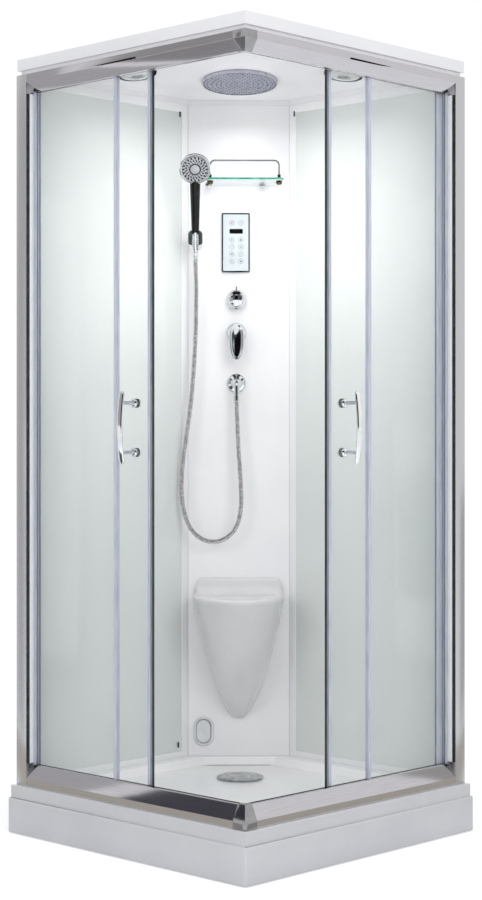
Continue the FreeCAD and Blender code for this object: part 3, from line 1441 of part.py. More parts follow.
def make_valves():
    plates = []
    for name, level in (("diverter", "diverter_level"), ("mixer", "mixer_level")):
        plates.append(turned(f"{name}_escutcheon", [
            ("valve_stem + running_gap", "0"),
            ("escutcheon_radius", "0"),
            ("escutcheon_radius", "escutcheon_height * 0.4"),
            ("escutcheon_radius - 4", "escutcheon_height"),
            ("valve_stem + running_gap", "escutcheon_height"),
        ], ("0", "valve_centre", level), "out", column=True))
    node("valve_escutcheons", group("valve_escutcheons", *plates))

    seat = "(escutcheon_height + knob_clearance)"
    knob = turned("diverter_grip", [
        ("0", "valve_stem_reach + knob_clearance"),
        ("valve_stem + running_gap", "valve_stem_reach + knob_clearance"),
        ("valve_stem + running_gap", seat),
        ("diverter_knob_radius", seat),
        ("diverter_knob_radius", f"{seat} + diverter_knob_height * 0.6"),
        ("diverter_knob_radius * 0.75", f"{seat} + diverter_knob_height"),
        ("0", f"{seat} + diverter_knob_height * 1.1"),
    ], ("0", "valve_centre", "diverter_level"), "out", column=True)
    pin = cylinder("diverter_pin", "diverter_pin_radius", "diverter_pin_reach - diverter_knob_radius / 2",
                   (f"{seat} + diverter_knob_height * 0.5", "valve_centre",
                    "diverter_level + diverter_knob_radius / 2"), column=True)
    node("diverter_knob", fuse("diverter_knob", knob, pin))

    dome = turned("mixer_dome_body", [
        ("0", "valve_stem_reach + knob_clearance"),
        ("valve_stem + running_gap", "valve_stem_reach + knob_clearance"),
        ("valve_stem + running_gap", seat),
        ("mixer_dome_radius", seat),
        ("mixer_dome_radius", f"{seat} + mixer_dome_height * 0.5"),
        ("mixer_dome_radius * 0.8", f"{seat} + mixer_dome_height"),
        ("0", f"{seat} + mixer_dome_height"),
    ], ("0", "valve_centre", "mixer_level"), "out", column=True)
    # The lever turns on a cross pin held by two cheeks on the dome.
    cap = f"({seat} + mixer_dome_height)"
    pivot_out = f"({cap} + lever_pivot_radius + 2)"
    cheek_in = "(lever_top_half / 2 + 0.5)"
    cheeks = []
    for index, sign in enumerate((-1, 1)):
        near = f"valve_centre + {sign} * {cheek_in}"
        far = f"valve_centre + {sign} * ({cheek_in} + 3)"
        span = (near, far) if sign > 0 else (far, near)
        cheeks.append(box(f"mixer_cheek_{index}", (f"{cap} - 2", f"{pivot_out} + lever_pivot_radius"), span,
                          ("mixer_level - lever_pivot_radius", "mixer_level + lever_pivot_radius"),
                          column=True))
    cross_pin = cylinder("mixer_cross_pin", "lever_pin", f"2 * {cheek_in} + 6",
                         (pivot_out, f"valve_centre - {cheek_in} - 3", "mixer_level"), "across", column=True)
    node("mixer_dome", fuse("mixer_dome", dome, *cheeks, cross_pin))

    half_eye = "(lever_top_half / 2)"
    eye = cylinder("lever_eye", "lever_pivot_radius", f"2 * {half_eye}",
                   (pivot_out, f"valve_centre - {half_eye}", "mixer_level"), "across", column=True)
    front = f"({pivot_out} + lever_pivot_radius)"
    blade = prism("lever_blade", "YZ_Plane", [[
        ("valve_centre - lever_top_half", "mixer_level + lever_rise"),
        ("valve_centre + lever_top_half", "mixer_level + lever_rise"),
        ("valve_centre + lever_top_half", "mixer_level - lever_rise / 2"),
        ("valve_centre + lever_tip_half", "mixer_level - lever_length"),
        ("valve_centre - lever_tip_half", "mixer_level - lever_length"),
        ("valve_centre - lever_top_half", "mixer_level - lever_rise / 2"),
    ]], f"{front} + lever_gap", f"{front} + lever_gap + lever_thickness")
    place(blade, column=True)
    neck = box("lever_neck", (pivot_out, f"{front} + lever_gap"),
               (f"valve_centre - {half_eye}", f"valve_centre + {half_eye}"),
               ("mixer_level - lever_pivot_radius", "mixer_level + lever_pivot_radius"), column=True)
    bore = cylinder("lever_bore", "lever_pin + running_gap", "4 * lever_top_half",
                    (pivot_out, "valve_centre - 2 * lever_top_half", "mixer_level"), "across", column=True)
    node("mixer_lever", cut("mixer_lever", fuse("lever_body", eye, blade, neck), bore))


def make_hose_outlet():
    plate = turned("outlet_plate_disc", [
        ("0", "0"),
        ("outlet_radius", "0"),
        ("outlet_radius", "outlet_plate * 0.4"),
        ("outlet_elbow + 3", "outlet_plate"),
        ("outlet_elbow", "outlet_plate * 2"),
        ("outlet_elbow", "outlet_reach"),
        ("0", "outlet_reach"),
    ], ("0", "valve_centre", "outlet_level"), "out", column=True)
    ball = add("Part::Sphere", "outlet_ball", Radius="outlet_elbow")
    place(ball, ("outlet_reach", "valve_centre", "outlet_level"), column=True)
    drop = cylinder("outlet_drop_pipe", "hose_nut - 1.5", "outlet_drop",
                    ("outlet_reach", "valve_centre", "outlet_level"), "down", column=True)
    nut = cylinder("outlet_nut", "hose_nut", "hose_nut_length",
                   ("outlet_reach", "valve_centre", "outlet_level - outlet_drop"), "down", column=True)
    node("hose_outlet", fuse("hose_outlet", plate, ball, drop, nut))


# ---------------------------------------------------------- holder and handset

def lean_turn():
    """Turns +Z to the handset's axis, leaning out from the column."""
    return FreeCAD.Rotation(FreeCAD.Vector(0, 1, 0), size("lean"))


def on_axis(distance, aside="0"):
    """A point on the handset's axis, measured up from the holder's centre."""
    return (
        f"holder_out + ({distance}) * sin(lean) + ({aside}) * cos(lean)",
        HOLDER_ACROSS,
        f"holder_level + ({distance}) * cos(lean) - ({aside}) * sin(lean)",
    )


def handle_radius(distance):
    """The handle tapers evenly from below the head to the clip."""
    return (f"(handle_clip_radius + (handle_top_radius - handle_clip_radius)"
            f" * (({distance}) + handle_tail) / (handset_head_distance + handle_tail - head_radius))")


def make_holder():
    base = cylinder("holder_base", "holder_base_radius", "holder_base_height",
                    ("0", HOLDER_ACROSS, "holder_level"), "out", column=True)
    arm = cylinder("holder_arm_bar", "holder_arm", "holder_pivot_out",
                   ("0", HOLDER_ACROSS, "holder_level"), "out", column=True)
    barrel = cylinder("holder_barrel_block", "holder_barrel", "2 * holder_barrel_half",
                      ("holder_pivot_out", f"{HOLDER_ACROSS} - holder_barrel_half", "holder_level"),
                      "across", column=True)
    pin_half = "(holder_barrel_half + holder_ear)"
    pin = cylinder("holder_pin_rod", "holder_pin", f"2 * {pin_half}",
                   ("holder_pivot_out", f"{HOLDER_ACROSS} - {pin_half}", "holder_level"),
                   "across", column=True)
    node("holder_bracket", fuse("holder_bracket", base, arm, barrel, pin))

    barrel_body = turned("clip_body", [
        ("0", "-clip_half_height"),
        ("clip_radius - clip_taper * 2", "-clip_half_height"),
        ("clip_radius", "-clip_half_height + clip_taper * 3"),
        ("clip_radius", "clip_half_height - clip_taper"),
        ("clip_radius - clip_taper", "clip_half_height"),
        ("0", "clip_half_height"),
    ], on_axis("0"), lean_turn(), column=True)
    bore = cone("clip_bore", f"{handle_radius('-clip_half_height')} + running_gap",
                f"{handle_radius('clip_half_height')} + running_gap", "2 * clip_half_height",
                on_axis("-clip_half_height"), lean_turn(), column=True)
    mouth = add("Part::Box", "clip_mouth", Length="clip_radius * 2", Width="2 * clip_slot_half",
                Height="3 * clip_half_height")
    mouth_at = (
        "holder_out - 1.5 * clip_half_height * sin(lean)",
        f"{HOLDER_ACROSS} - clip_slot_half",
        "holder_level - 1.5 * clip_half_height * cos(lean)",
    )
    place(mouth, mouth_at, lean_turn(), column=True)
    # Two ears reach back from the clip to the pin, one each side of the barrel.
    room = "(holder_barrel + 1)"
    pocket = cylinder("clip_pocket", room, "2 * holder_barrel_half + 1",
                      ("holder_pivot_out", f"{HOLDER_ACROSS} - holder_barrel_half - 0.5", "holder_level"),
                      "across", column=True)
    ears = []
    for index, sign in enumerate((-1, 1)):
        near = f"{HOLDER_ACROSS} + {sign} * (holder_barrel_half + 0.5)"
        far = f"{HOLDER_ACROSS} + {sign} * (holder_barrel_half + holder_ear)"
        span = (near, far) if sign > 0 else (far, near)
        ears.append(box(f"clip_ear_{index}", ("holder_pivot_out - 6", "holder_out - clip_radius * 0.6"),
                        span, ("holder_level - 6", "holder_level + 6"), column=True))
    pin_way = cylinder("clip_pin_way", "holder_pin + running_gap", f"2 * {pin_half} + 2",
                       ("holder_pivot_out", f"{HOLDER_ACROSS} - {pin_half} - 1", "holder_level"),
                       "across", column=True)
    body = fuse("clip_with_ears", barrel_body, *ears)
    node("holder_clip", cut("holder_clip", body, bore, mouth, pocket, pin_way))


def make_handset():
    top = "(handset_head_distance - head_radius * 0.35)"
    handle = cone("handset_handle", handle_radius("-handle_tail"), handle_radius(top),
                  f"{top} + handle_tail", on_axis("-handle_tail"), lean_turn(), column=True)
    nut = cylinder("handset_nut", "tail_nut_radius", "tail_nut_length",
                   on_axis("-handle_tail - tail_nut_length"), lean_turn(), column=True)
    face_turn = FreeCAD.Rotation(FreeCAD.Vector(0, 1, 0), size("lean") + 90)
    # The head's axis runs square to the handle; its height is along the spray.
    head = turned("handset_head", [
        ("0", "-head_depth * 0.55"),
        ("head_radius * 0.55", "-head_depth * 0.5"),
        ("head_radius * 0.9", "-head_depth * 0.15"),
        ("head_radius", "head_depth * 0.2"),
        ("head_radius", "head_depth * 0.45"),
        ("plate_radius", "head_depth * 0.45"),
        ("plate_radius", "head_depth * 0.45 - plate_depth"),
        ("0", "head_depth * 0.45 - plate_depth"),
    ], on_axis("handset_head_distance"), face_turn, column=True)
    clear = cylinder("handset_plate_room", "plate_radius", "head_depth",
                     on_axis("handset_head_distance", "head_depth * 0.45 - plate_depth"),
                     face_turn, column=True)
    node("handset", cut("handset", fuse("handset_body", handle, nut, head), clear))
    dial = turned("handset_spray_dial", [
        ("0", "0.4"),
        ("plate_radius - running_gap", "0.4"),
        ("plate_radius - running_gap", "plate_depth"),
        ("plate_radius - 4", "plate_depth + 1.5"),
        ("0", "plate_depth + 2"),
    ], on_axis("handset_head_distance", "head_depth * 0.45 - plate_depth"), face_turn, column=True)
    node("handset_spray_dial", dial)


def make_hoses():
    lean = math.radians(size("lean"))
    reach = size("handle_tail") + size("tail_nut_length")
    nut_end = (
        size("holder_out") - reach * math.sin(lean),
        size("holder_margin") - size("column_width") / 2,
        size("holder_level") - reach * math.cos(lean),
    )
    outlet_end = (
        size("outlet_reach"),
        size("valve_centre"),
        size("outlet_level") - size("outlet_drop") - size("hose_nut_length"),
    )
    node("hose_lower", tube("hose_lower", [outlet_end, *HOSE_LOWER[1:]], size("hose_radius")))
    node("hose_upper", tube("hose_upper", [*HOSE_UPPER, nut_end], size("hose_radius")))


# --------------------------------------------------------------- steam and pipes

def oval(label, half_width, half_height, start, end):
    """An upright oval plate on the column: two half rounds joined by straight sides."""
    offset = f"({half_height} - {half_width})"
    depth = f"({end}) - ({start})"
    ends = [
        cylinder(f"{label}_{name}", half_width, depth,
                 (start, "steam_across", f"steam_level + {sign} * {offset}"), "out", column=True)
        for name, sign in (("top", 1), ("bottom", -1))
    ]
    middle = box(f"{label}_middle", (start, end),
                 (f"steam_across - {half_width}", f"steam_across + {half_width}"),
                 (f"steam_level - {offset}", f"steam_level + {offset}"), column=True)
    return fuse(label, *ends, middle)


def make_steam():
    plate = oval("steam_ring", "steam_half_width", "steam_half_height", "0", "steam_plate")
    inner = oval("steam_well", "(steam_half_width - steam_inner)", "(steam_half_height - steam_inner)",
                 "steam_plate - 2", "steam_plate")
    spigot = cylinder("steam_spigot_tube", "steam_pipe", "column_skin + steam_spigot",
                      ("-column_skin - steam_spigot", "steam_across", "steam_level"), "out", column=True)
    bore = cylinder("steam_bore", "steam_pipe - 2", "column_skin + steam_plate + steam_spigot * 2",
                    ("-column_skin - steam_spigot - 1", "steam_across", "steam_level"), "out", column=True)
    node("steam_outlet", cut("steam_outlet", fuse("steam_outlet_body", plate, spigot), inner, bore))
    front = "(-column_skin - generator_clearance)"
    tank = box("generator_case", (f"{front} - generator_depth", front),
               ("-generator_half_width", "generator_half_width"),
               ("generator_base", "generator_base + generator_height"), column=True)
    straps = []
    for index, share in enumerate((0.2, 0.8)):
        level = f"(generator_base + generator_height * {share})"
        straps.append(box(f"generator_strap_{index}", (front, "-column_skin"),
                          ("-generator_half_width", "generator_half_width"),
                          (f"{level} - 12", f"{level} + 12"), column=True))
    node("steam_generator", fuse("steam_generator", tank, *straps))
    mouth = -size("column_skin") - size("steam_spigot")
    run = -size("column_skin") - size("steam_hose_reach")
    return tube("steam_hose", [
        (mouth, size("steam_across"), size("steam_level")),
        (run, size("steam_across"), size("steam_level")),
        (run, 0, size("steam_level")),
        (run, 0, size("generator_base")),
    ], size("steam_pipe"), bend=size("steam_hose_bend"))


def make_pipework():
    behind = "-manifold_out"
    low = "(mixer_level - manifold_margin)"
    high = "(diverter_level + manifold_margin)"
    body = cylinder("manifold_body", "manifold_radius", f"{high} - {low}",
                    (behind, "valve_centre", low), column=True)
    stems = []
    for name, level in (("mixer", "mixer_level"), ("diverter", "diverter_level")):
        stems.append(cylinder(f"{name}_stem", "valve_stem", "manifold_out + valve_stem_reach",
                              (behind, "valve_centre", level), "out", column=True))
    feed = cylinder("outlet_feed", "pipe_radius", f"{low} - outlet_level",
                    (behind, "valve_centre", "outlet_level"), column=True)
    feed_out = cylinder("outlet_feed_out", "pipe_radius", "manifold_out",
                        (behind, "valve_centre", "outlet_level"), "out", column=True)
    inlets = []
    arm_level = f"({low} + manifold_radius)"
    arm = cylinder("inlet_arm", "pipe_radius", "2 * inlet_spread",
                   (behind, "valve_centre - inlet_spread", arm_level), "across", column=True)
    for index, sign in enumerate((-1, 1)):
        across = f"(valve_centre + {sign} * inlet_spread)"
        inlets.append(cylinder(f"inlet_pipe_{index}", "pipe_radius", "inlet_reach + inlet_thread_length",
                               (behind, across, arm_level), "back", column=True))
        inlets.append(cylinder(f"inlet_thread_{index}", "inlet_thread", "inlet_thread_length",
                               (f"{behind} - inlet_reach", across, arm_level), "back", column=True))
    manifold = fuse("valve_manifold", body, *stems, feed, feed_out, arm, *inlets)
    out = size("manifold_out")
    centre = size("valve_centre")
    top = size("diverter_level") + size("manifold_margin")
    slope = size("ceiling_centre_slope")
    rain = size("rain_distance")
    tilt = math.atan(slope)
    ceiling = (size("rim_height") + size("enclosure_height") + size("cornice_height")
               + slope * rain)

    def above_neck(length):
        """A point on the rain head's tilted axis, above the top of its neck."""
        along = size("rain_neck_length") + length
        return (rain - along * math.sin(tilt), 0, ceiling + along * math.cos(tilt))

    corner = above_neck(size("riser_rise"))
    riser = tube("riser_pipe", [
        (-out, centre, top),
        (-out, 0, ceiling - size("riser_knee")),
        (-out, 0, corner[2]),
        corner,
        above_neck(0),
    ], size("riser_radius"), bend=size("riser_bend"))
    return manifold, riser


make_tray()
make_apron()
make_support_frame()
make_feet()
make_waste()
for glazed_side in ("left", "right"):
    make_rails(glazed_side)
    make_post(glazed_side)
    make_fixed_glass(glazed_side)
    make_door(glazed_side)
    make_wall(glazed_side)
for glazed_side in ("left", "right"):
    strips = (edge_seal(glazed_side), *gasket(glazed_side))
    node(f"glass_seals_{glazed_side}", group(f"glass_seals_{glazed_side}", *strips))
make_connectors()
make_column()
make_roof()
make_ceiling_fittings()
make_seat()
make_shelf()
make_control_panel()
make_valves()
make_hose_outlet()
make_holder()
make_handset()
make_hoses()
node("supply_pipes", group("supply_pipes", make_steam(), *make_pipework()))

doc.recompute()

faults = []
for thing in doc.Objects:
    if "Invalid" in thing.State or "Error" in thing.State:
        faults.append(f"{thing.Label}: {thing.State}")
for thing in NODES:
    if thing.Shape.isNull() or not thing.Shape.isValid():
        faults.append(f"{thing.Label}: shape")
if faults:
    raise RuntimeError("; ".join(faults))

os.makedirs("parts", exist_ok=True)
for thing in NODES:
    thing.Shape.exportStep(f"parts/{thing.Label}.step")
print(f"{len(NODES)} nodes written")
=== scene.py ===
import json
import math

import bmesh
import bpy
from mathutils import Matrix, Vector

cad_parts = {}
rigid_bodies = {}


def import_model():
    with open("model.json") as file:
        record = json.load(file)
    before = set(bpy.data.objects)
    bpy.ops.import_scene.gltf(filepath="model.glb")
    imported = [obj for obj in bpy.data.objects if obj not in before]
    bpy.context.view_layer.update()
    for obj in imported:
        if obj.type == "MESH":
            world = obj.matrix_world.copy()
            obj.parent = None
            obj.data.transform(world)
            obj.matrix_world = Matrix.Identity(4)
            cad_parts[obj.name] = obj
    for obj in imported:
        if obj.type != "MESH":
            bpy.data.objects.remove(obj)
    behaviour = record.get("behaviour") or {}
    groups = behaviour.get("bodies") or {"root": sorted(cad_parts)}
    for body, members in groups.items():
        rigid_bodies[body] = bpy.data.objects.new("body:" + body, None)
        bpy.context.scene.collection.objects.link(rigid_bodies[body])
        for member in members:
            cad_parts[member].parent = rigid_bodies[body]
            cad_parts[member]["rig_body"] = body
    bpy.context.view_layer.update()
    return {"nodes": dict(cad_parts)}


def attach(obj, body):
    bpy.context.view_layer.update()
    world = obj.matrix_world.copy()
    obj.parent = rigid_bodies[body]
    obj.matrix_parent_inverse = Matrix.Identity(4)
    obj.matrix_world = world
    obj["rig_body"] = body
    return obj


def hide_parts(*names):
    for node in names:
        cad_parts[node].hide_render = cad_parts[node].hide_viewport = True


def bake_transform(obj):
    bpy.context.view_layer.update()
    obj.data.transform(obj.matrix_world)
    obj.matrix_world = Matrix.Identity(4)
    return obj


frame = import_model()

scene = bpy.context.scene
scene.view_settings.view_transform = "Standard"

# ------------------------------------------------------------------- places
# Workpieces are drawn in millimetres in their own place on the cabin.
MM = 0.001
UP = Vector((0, 0, 1))
OUT = Vector((1, -1, 0)).normalized()
ACROSS = Vector((1, 1, 0)).normalized()
COLUMN_FACE = 443.97
LEAN = math.radians(27.5)
HANDLE_LINE = OUT * math.sin(LEAN) + UP * math.cos(LEAN)
SPRAY_LINE = OUT * math.cos(LEAN) - UP * math.sin(LEAN)
HOLDER = (76, -128, 1650)
HOLDER_PIVOT = (42, -128, 1650)
HEAD_DISTANCE = 222
VALVE_ACROSS = -7
DIVERTER_LEVEL = 1483
MIXER_LEVEL = 1384
OUTLET_LEVEL = 1234
SHELF_LEVEL = 1821
GALLERY_OUT = 131
GALLERY_ENDS = (-85, 115)
PANEL_ACROSS = -9
PANEL_LEVEL = 1651
DOOR_PLANE = 388
DOOR_LEAD = {"left": 392, "right": 365}
HANDLE_SETBACK = 61
HANDLE_LEVEL = 1100
STUD_REACH = 63.5
STEAM_OUTLET = (-104, 203)
DRAIN = (-149, 149, 108)
SEAT_TIP = 239
SEAT_LEVEL = 612
SEAT_HALF = 138
SEAT_DEPTH = 262
CENTRE_SLOPE = math.atan(0.114)
SIDE_SLOPE = math.atan(0.161)
RAIN_OUT = 190
RAIN_LEVEL = 2096.7
LAMP_LEVEL = 2098.0


def place(origin, x, y, z):
    turn = Matrix((x, y, z)).transposed().to_4x4()
    return Matrix.Translation(origin * MM) @ turn @ Matrix.Scale(MM, 4)


def column_point(out, across, level):
    return OUT * (out - COLUMN_FACE) + ACROSS * across + UP * level


def on_column(out, across, level):
    """A place on the column: x runs across it, y up and z out of it."""
    return place(column_point(out, across, level), ACROSS, UP, OUT)


def standing(out, across, level):
    """A place in front of the column whose z points up."""
    return place(column_point(out, across, level), OUT, ACROSS, UP)


def handset_point(distance, aside=0):
    return column_point(*HOLDER) + HANDLE_LINE * distance + SPRAY_LINE * aside


def along_handle(distance):
    """A place on the handset's axis whose z runs up the handle."""
    return place(handset_point(distance), SPRAY_LINE, ACROSS, HANDLE_LINE)


def facing_spray(distance, aside=0):
    """A place on the handset whose z points the way the water goes."""
    return place(handset_point(distance, aside), ACROSS, HANDLE_LINE, SPRAY_LINE)


def on_face(side, along, out, level):
    """A place on a glazed face: y up, z outwards, along from the front corner."""
    if side == "left":
        return place(Vector((450 - along, -out, level)), Vector((1, 0, 0)), UP, Vector((0, -1, 0)))
    return place(Vector((out, along - 450, level)), Vector((0, 1, 0)), UP, Vector((1, 0, 0)))


def on_wall(side, along, out, level):
    """A place on a wall's inner face, z pointing into the cabin."""
    if side == "left":
        return place(Vector((-out, along, level)), Vector((0, 1, 0)), UP, Vector((1, 0, 0)))
    return place(Vector((along, out, level)), Vector((1, 0, 0)), UP, Vector((0, -1, 0)))


def lying(x, y, level):
    """A level place on the tray or under the ceiling."""
    return place(Vector((x, y, level)), Vector((1, 0, 0)), Vector((0, 1, 0)), UP)


# ------------------------------------------------------------------ finishes
def linear(*colour):
    """A colour given as 0 to 255 on a screen, as the shader takes it."""
    return tuple(((c / 255 + 0.055) / 1.055) ** 2.4 if c > 10 else c / 255 / 12.92 for c in colour)


class Finish:
    """One finish: its shader, and patterns that read the piece's own space."""

    def __init__(self, name, roughness=0.4, metallic=0.0, specular=0.5):
        self.material = bpy.data.materials.new(name)
        self.material.use_nodes = True
        self.nodes = self.material.node_tree.nodes
        self.links = self.material.node_tree.links
        self.shader = self.nodes["Principled BSDF"]
        self.shader.inputs["Roughness"].default_value = roughness
        self.shader.inputs["Metallic"].default_value = metallic
        self.shader.inputs["Specular IOR Level"].default_value = specular
        self.space = self.nodes.new("ShaderNodeTexCoord").outputs["Object"]

    def stretched(self, stretch):
        mapping = self.nodes.new("ShaderNodeMapping")
        mapping.inputs["Scale"].default_value = stretch
        self.links.new(self.space, mapping.inputs["Vector"])
        return mapping.outputs["Vector"]

    def noise(self, scale, stretch=None, detail=3):
        noise = self.nodes.new("ShaderNodeTexNoise")
        noise.inputs["Scale"].default_value = scale
        noise.inputs["Detail"].default_value = detail
        self.links.new(self.stretched(stretch) if stretch else self.space, noise.inputs["Vector"])
        return noise.outputs["Fac"]

    def ranged(self, pattern, low, high, start=0.3, end=0.7):
        ranged = self.nodes.new("ShaderNodeMapRange")
        for name, value in zip(("From Min", "From Max", "To Min", "To Max"), (start, end, low, high)):
            ranged.inputs[name].default_value = value
        self.links.new(pattern, ranged.inputs["Value"])
        return ranged.outputs["Result"]

    def tint(self, pattern, dark, light, start=0.35, end=0.65):
        ramp = self.nodes.new("ShaderNodeValToRGB")
        ramp.color_ramp.elements[0].position = start
        ramp.color_ramp.elements[1].position = end
        ramp.color_ramp.elements[0].color = (*linear(*dark), 1)
        ramp.color_ramp.elements[1].color = (*linear(*light), 1)
        self.links.new(pattern, ramp.inputs["Fac"])
        self.links.new(ramp.outputs["Color"], self.shader.inputs["Base Color"])

    def worn(self, pattern, low, high):
        self.links.new(self.ranged(pattern, low, high), self.shader.inputs["Roughness"])

    def bump(self, pattern, strength, depth=0.0002):
        bump = self.nodes.new("ShaderNodeBump")
        bump.inputs["Strength"].default_value = strength
        bump.inputs["Distance"].default_value = depth
        self.links.new(pattern, bump.inputs["Height"])
        self.links.new(bump.outputs["Normal"], self.shader.inputs["Normal"])

    def see_through(self, facing, grazing):
        """Glass and clear plastic: little shows face on, more at the edges."""
        weight = self.nodes.new("ShaderNodeLayerWeight")
        weight.inputs["Blend"].default_value = 0.5
        share = self.ranged(weight.outputs["Facing"], facing, grazing, 0.3, 1.0)
        self.links.new(share, self.shader.inputs["Alpha"])


# Each finish: its shader's own values, then the patterns that vary its colour,
# roughness and relief. A pattern starts with its noise: scale, stretch, detail.
FINISHES = {
    "white_acrylic": {"tint": ((5,), (235, 235, 236), (240, 240, 240)), "worn": ((90,), 0.22, 0.25),
        "bump": ((220,), 0.02)},
    "roof_acrylic": {"tint": ((4,), (229, 228, 231), (234, 233, 235)), "worn": ((80,), 0.24, 0.27),
        "bump": ((180,), 0.02)},
    # The seat's white acrylic is made darker: painted shade.
    "shaded_seat_acrylic": {"tint": ((9,), (218, 217, 218), (224, 223, 223)), "worn": ((90,), 0.16, 0.2),
        "bump": ((260,), 0.02)},
    # The skirt is the white acrylic made darker: painted shade low on the cabin.
    "shaded_skirt_acrylic": {"tint": ((5,), (199, 199, 203), (205, 205, 208)), "worn": ((90,), 0.3, 0.34),
        "bump": ((220,), 0.02)},
    "corner_metal": {"metallic": 1.0, "tint": ((40,), (150, 150, 153), (160, 160, 163)),
        "worn": ((90,), 0.1, 0.16)},
    "polished_trim": {"metallic": 0.9, "tint": ((14, (1, 1, 0.2)), (150, 154, 157), (162, 166, 168)),
        "worn": ((30,), 0.05, 0.09)},
    "white_glass": {"specular": 0.6, "tint": ((3,), (218, 223, 220), (223, 227, 224)),
        "worn": ((14,), 0.04, 0.1)},
    "clear_glass": {"roughness": 0.02, "tint": ((4,), (206, 214, 214), (216, 222, 221)),
        "see_through": (0.016, 0.4)},
    "glass_edge": {"roughness": 0.12, "tint": ((30,), (120, 168, 158), (160, 200, 190))},
    "shelf_edge": {"roughness": 0.1, "tint": ((40,), (40, 132, 104), (82, 168, 138))},
    "shelf_glass": {"roughness": 0.03, "tint": ((20,), (222, 228, 236), (232, 236, 242)),
        "see_through": (0.12, 0.5)},
    "rail_aluminium": {"metallic": 1.0, "tint": ((30, (0.4, 0.4, 12)), (190, 188, 192), (196, 194, 198)),
        "worn": ((60, (0.3, 0.3, 20)), 0.08, 0.11), "bump": ((160, (0.2, 0.2, 14)), 0.01)},
    "post_aluminium": {"metallic": 0.9, "tint": ((3, (2, 2, 0.3)), (190, 189, 191), (194, 193, 195)),
        "worn": ((40, (6, 6, 0.3)), 0.24, 0.27), "bump": ((90, (6, 6, 0.2)), 0.004)},
    "chrome": {"metallic": 1.0, "tint": ((40,), (222, 224, 226), (238, 239, 240)),
        "worn": ((90,), 0.03, 0.09)},
    "hose_steel": {"metallic": 1.0, "tint": ((120,), (176, 172, 174), (222, 219, 219)),
        "worn": ((200,), 0.16, 0.3)},
    "clear_seal": {"roughness": 0.25, "tint": ((26, (8, 8, 0.6)), (188, 194, 210), (212, 216, 227)),
        "see_through": (0.8, 0.95), "bump": ((140,), 0.1)},
    "seal_line": {"roughness": 0.4, "tint": ((60, (6, 6, 0.4)), (108, 120, 128), (138, 148, 154))},
    "white_seal": {"roughness": 0.4, "tint": ((30, (6, 6, 0.5)), (232, 234, 236), (242, 243, 244)),
        "bump": ((160,), 0.1)},
    "black_seal": {"tint": ((40, (6, 6, 0.5)), (38, 38, 42), (62, 62, 66)), "worn": ((70,), 0.35, 0.55)},
    # Real black plastic, and also the painted dark reflection on the handset's front.
    "black_plastic": {"specular": 0.3, "tint": ((60,), (8, 8, 9), (16, 16, 18)),
        "worn": ((90,), 0.12, 0.22)},
    "grip_plastic": {"tint": ((70,), (34, 44, 42), (54, 66, 62)), "worn": ((110,), 0.3, 0.5),
        "bump": ((420,), 0.15)},
    "grey_plastic": {"metallic": 0.25, "tint": ((40,), (158, 160, 162), (182, 184, 186)),
        "worn": ((90,), 0.22, 0.36)},
    "rain_face": {"metallic": 0.3, "tint": ((22,), (182, 181, 198), (198, 197, 210)),
        "worn": ((60,), 0.24, 0.4)},
    "pale_nozzle": {"roughness": 0.5, "tint": ((80,), (84, 108, 114), (112, 134, 138))},
    "dark_brass": {"metallic": 1.0, "tint": ((60,), (92, 80, 64), (128, 112, 90)),
        "worn": ((90,), 0.1, 0.2)},
    "rubber_nozzle": {"roughness": 0.5, "specular": 0.2, "tint": ((80,), (6, 7, 7), (14, 15, 15))},
    "dark_gap": {"roughness": 0.6, "tint": ((50,), (22, 24, 26), (44, 46, 48))},
    "panel_face": {"tint": ((16,), (202, 210, 214), (210, 217, 220)), "worn": ((50,), 0.14, 0.24)},
    "panel_print": {"roughness": 0.4, "tint": ((70,), (70, 74, 82), (96, 100, 106))},
    "red_print": {"roughness": 0.4, "tint": ((70,), (196, 70, 84), (214, 96, 108))},
    "lamp_lens": {"tint": ((30,), (196, 198, 198), (214, 216, 215)), "worn": ((40,), 0.1, 0.2),
        "bump": ((500, None, 1), 0.25)},
    "nylon": {"tint": ((60,), (224, 224, 220), (236, 236, 232)), "worn": ((80,), 0.3, 0.45)},
    "drain_plastic": {"tint": ((30,), (208, 209, 210), (224, 225, 226)), "worn": ((50,), 0.35, 0.5),
        "bump": ((260,), 0.1)},
    "foot_plastic": {"tint": ((50,), (38, 39, 41), (56, 57, 60)), "worn": ((90,), 0.4, 0.6),
        "bump": ((300,), 0.12)},
    "generator_steel": {"metallic": 0.85, "tint": ((30, (1, 1, 16)), (178, 180, 182), (202, 204, 205)),
        "worn": ((60, (0.5, 0.5, 30)), 0.26, 0.42), "bump": ((180, (0.4, 0.4, 20)), 0.06)},
    "copper_pipe": {"metallic": 1.0, "tint": ((18,), (176, 104, 70), (214, 146, 110)),
        "worn": ((40,), 0.2, 0.42)},
    "spray_grey": {"metallic": 0.2, "tint": ((50,), (152, 154, 158), (166, 168, 172)),
        "worn": ((90,), 0.25, 0.36)},
}


def finished(name):
    """The material of one finish, made from its row in the table."""
    row = dict(FINISHES[name])
    patterns = {kind: row.pop(kind) for kind in ("tint", "worn", "bump") if kind in row}
    clear = row.pop("see_through", None)
    finish = Finish(name, **row)
    for kind, (noise, *values) in patterns.items():
        getattr(finish, kind)(finish.noise(*noise), *values)
    if clear:
        finish.see_through(*clear)
    return finish.material


def zinc_tube():
    """Galvanised square tube, with the flowers of the zinc."""
    finish = Finish("zinc_tube", metallic=0.9)
    flowers = finish.nodes.new("ShaderNodeTexVoronoi")
    flowers.inputs["Scale"].default_value = 70
    finish.links.new(finish.space, flowers.inputs["Vector"])
    finish.tint(flowers.outputs["Distance"], (150, 154, 158), (184, 188, 192), 0.1, 0.7)
    finish.worn(flowers.outputs["Distance"], 0.3, 0.5)
    return finish.material


# ------------------------------------------------------------- shaping tools
def circle(radius, level, count=32):
    return [(radius * math.cos(2 * math.pi * k / count), radius * math.sin(2 * math.pi * k / count), level)
            for k in range(count)]


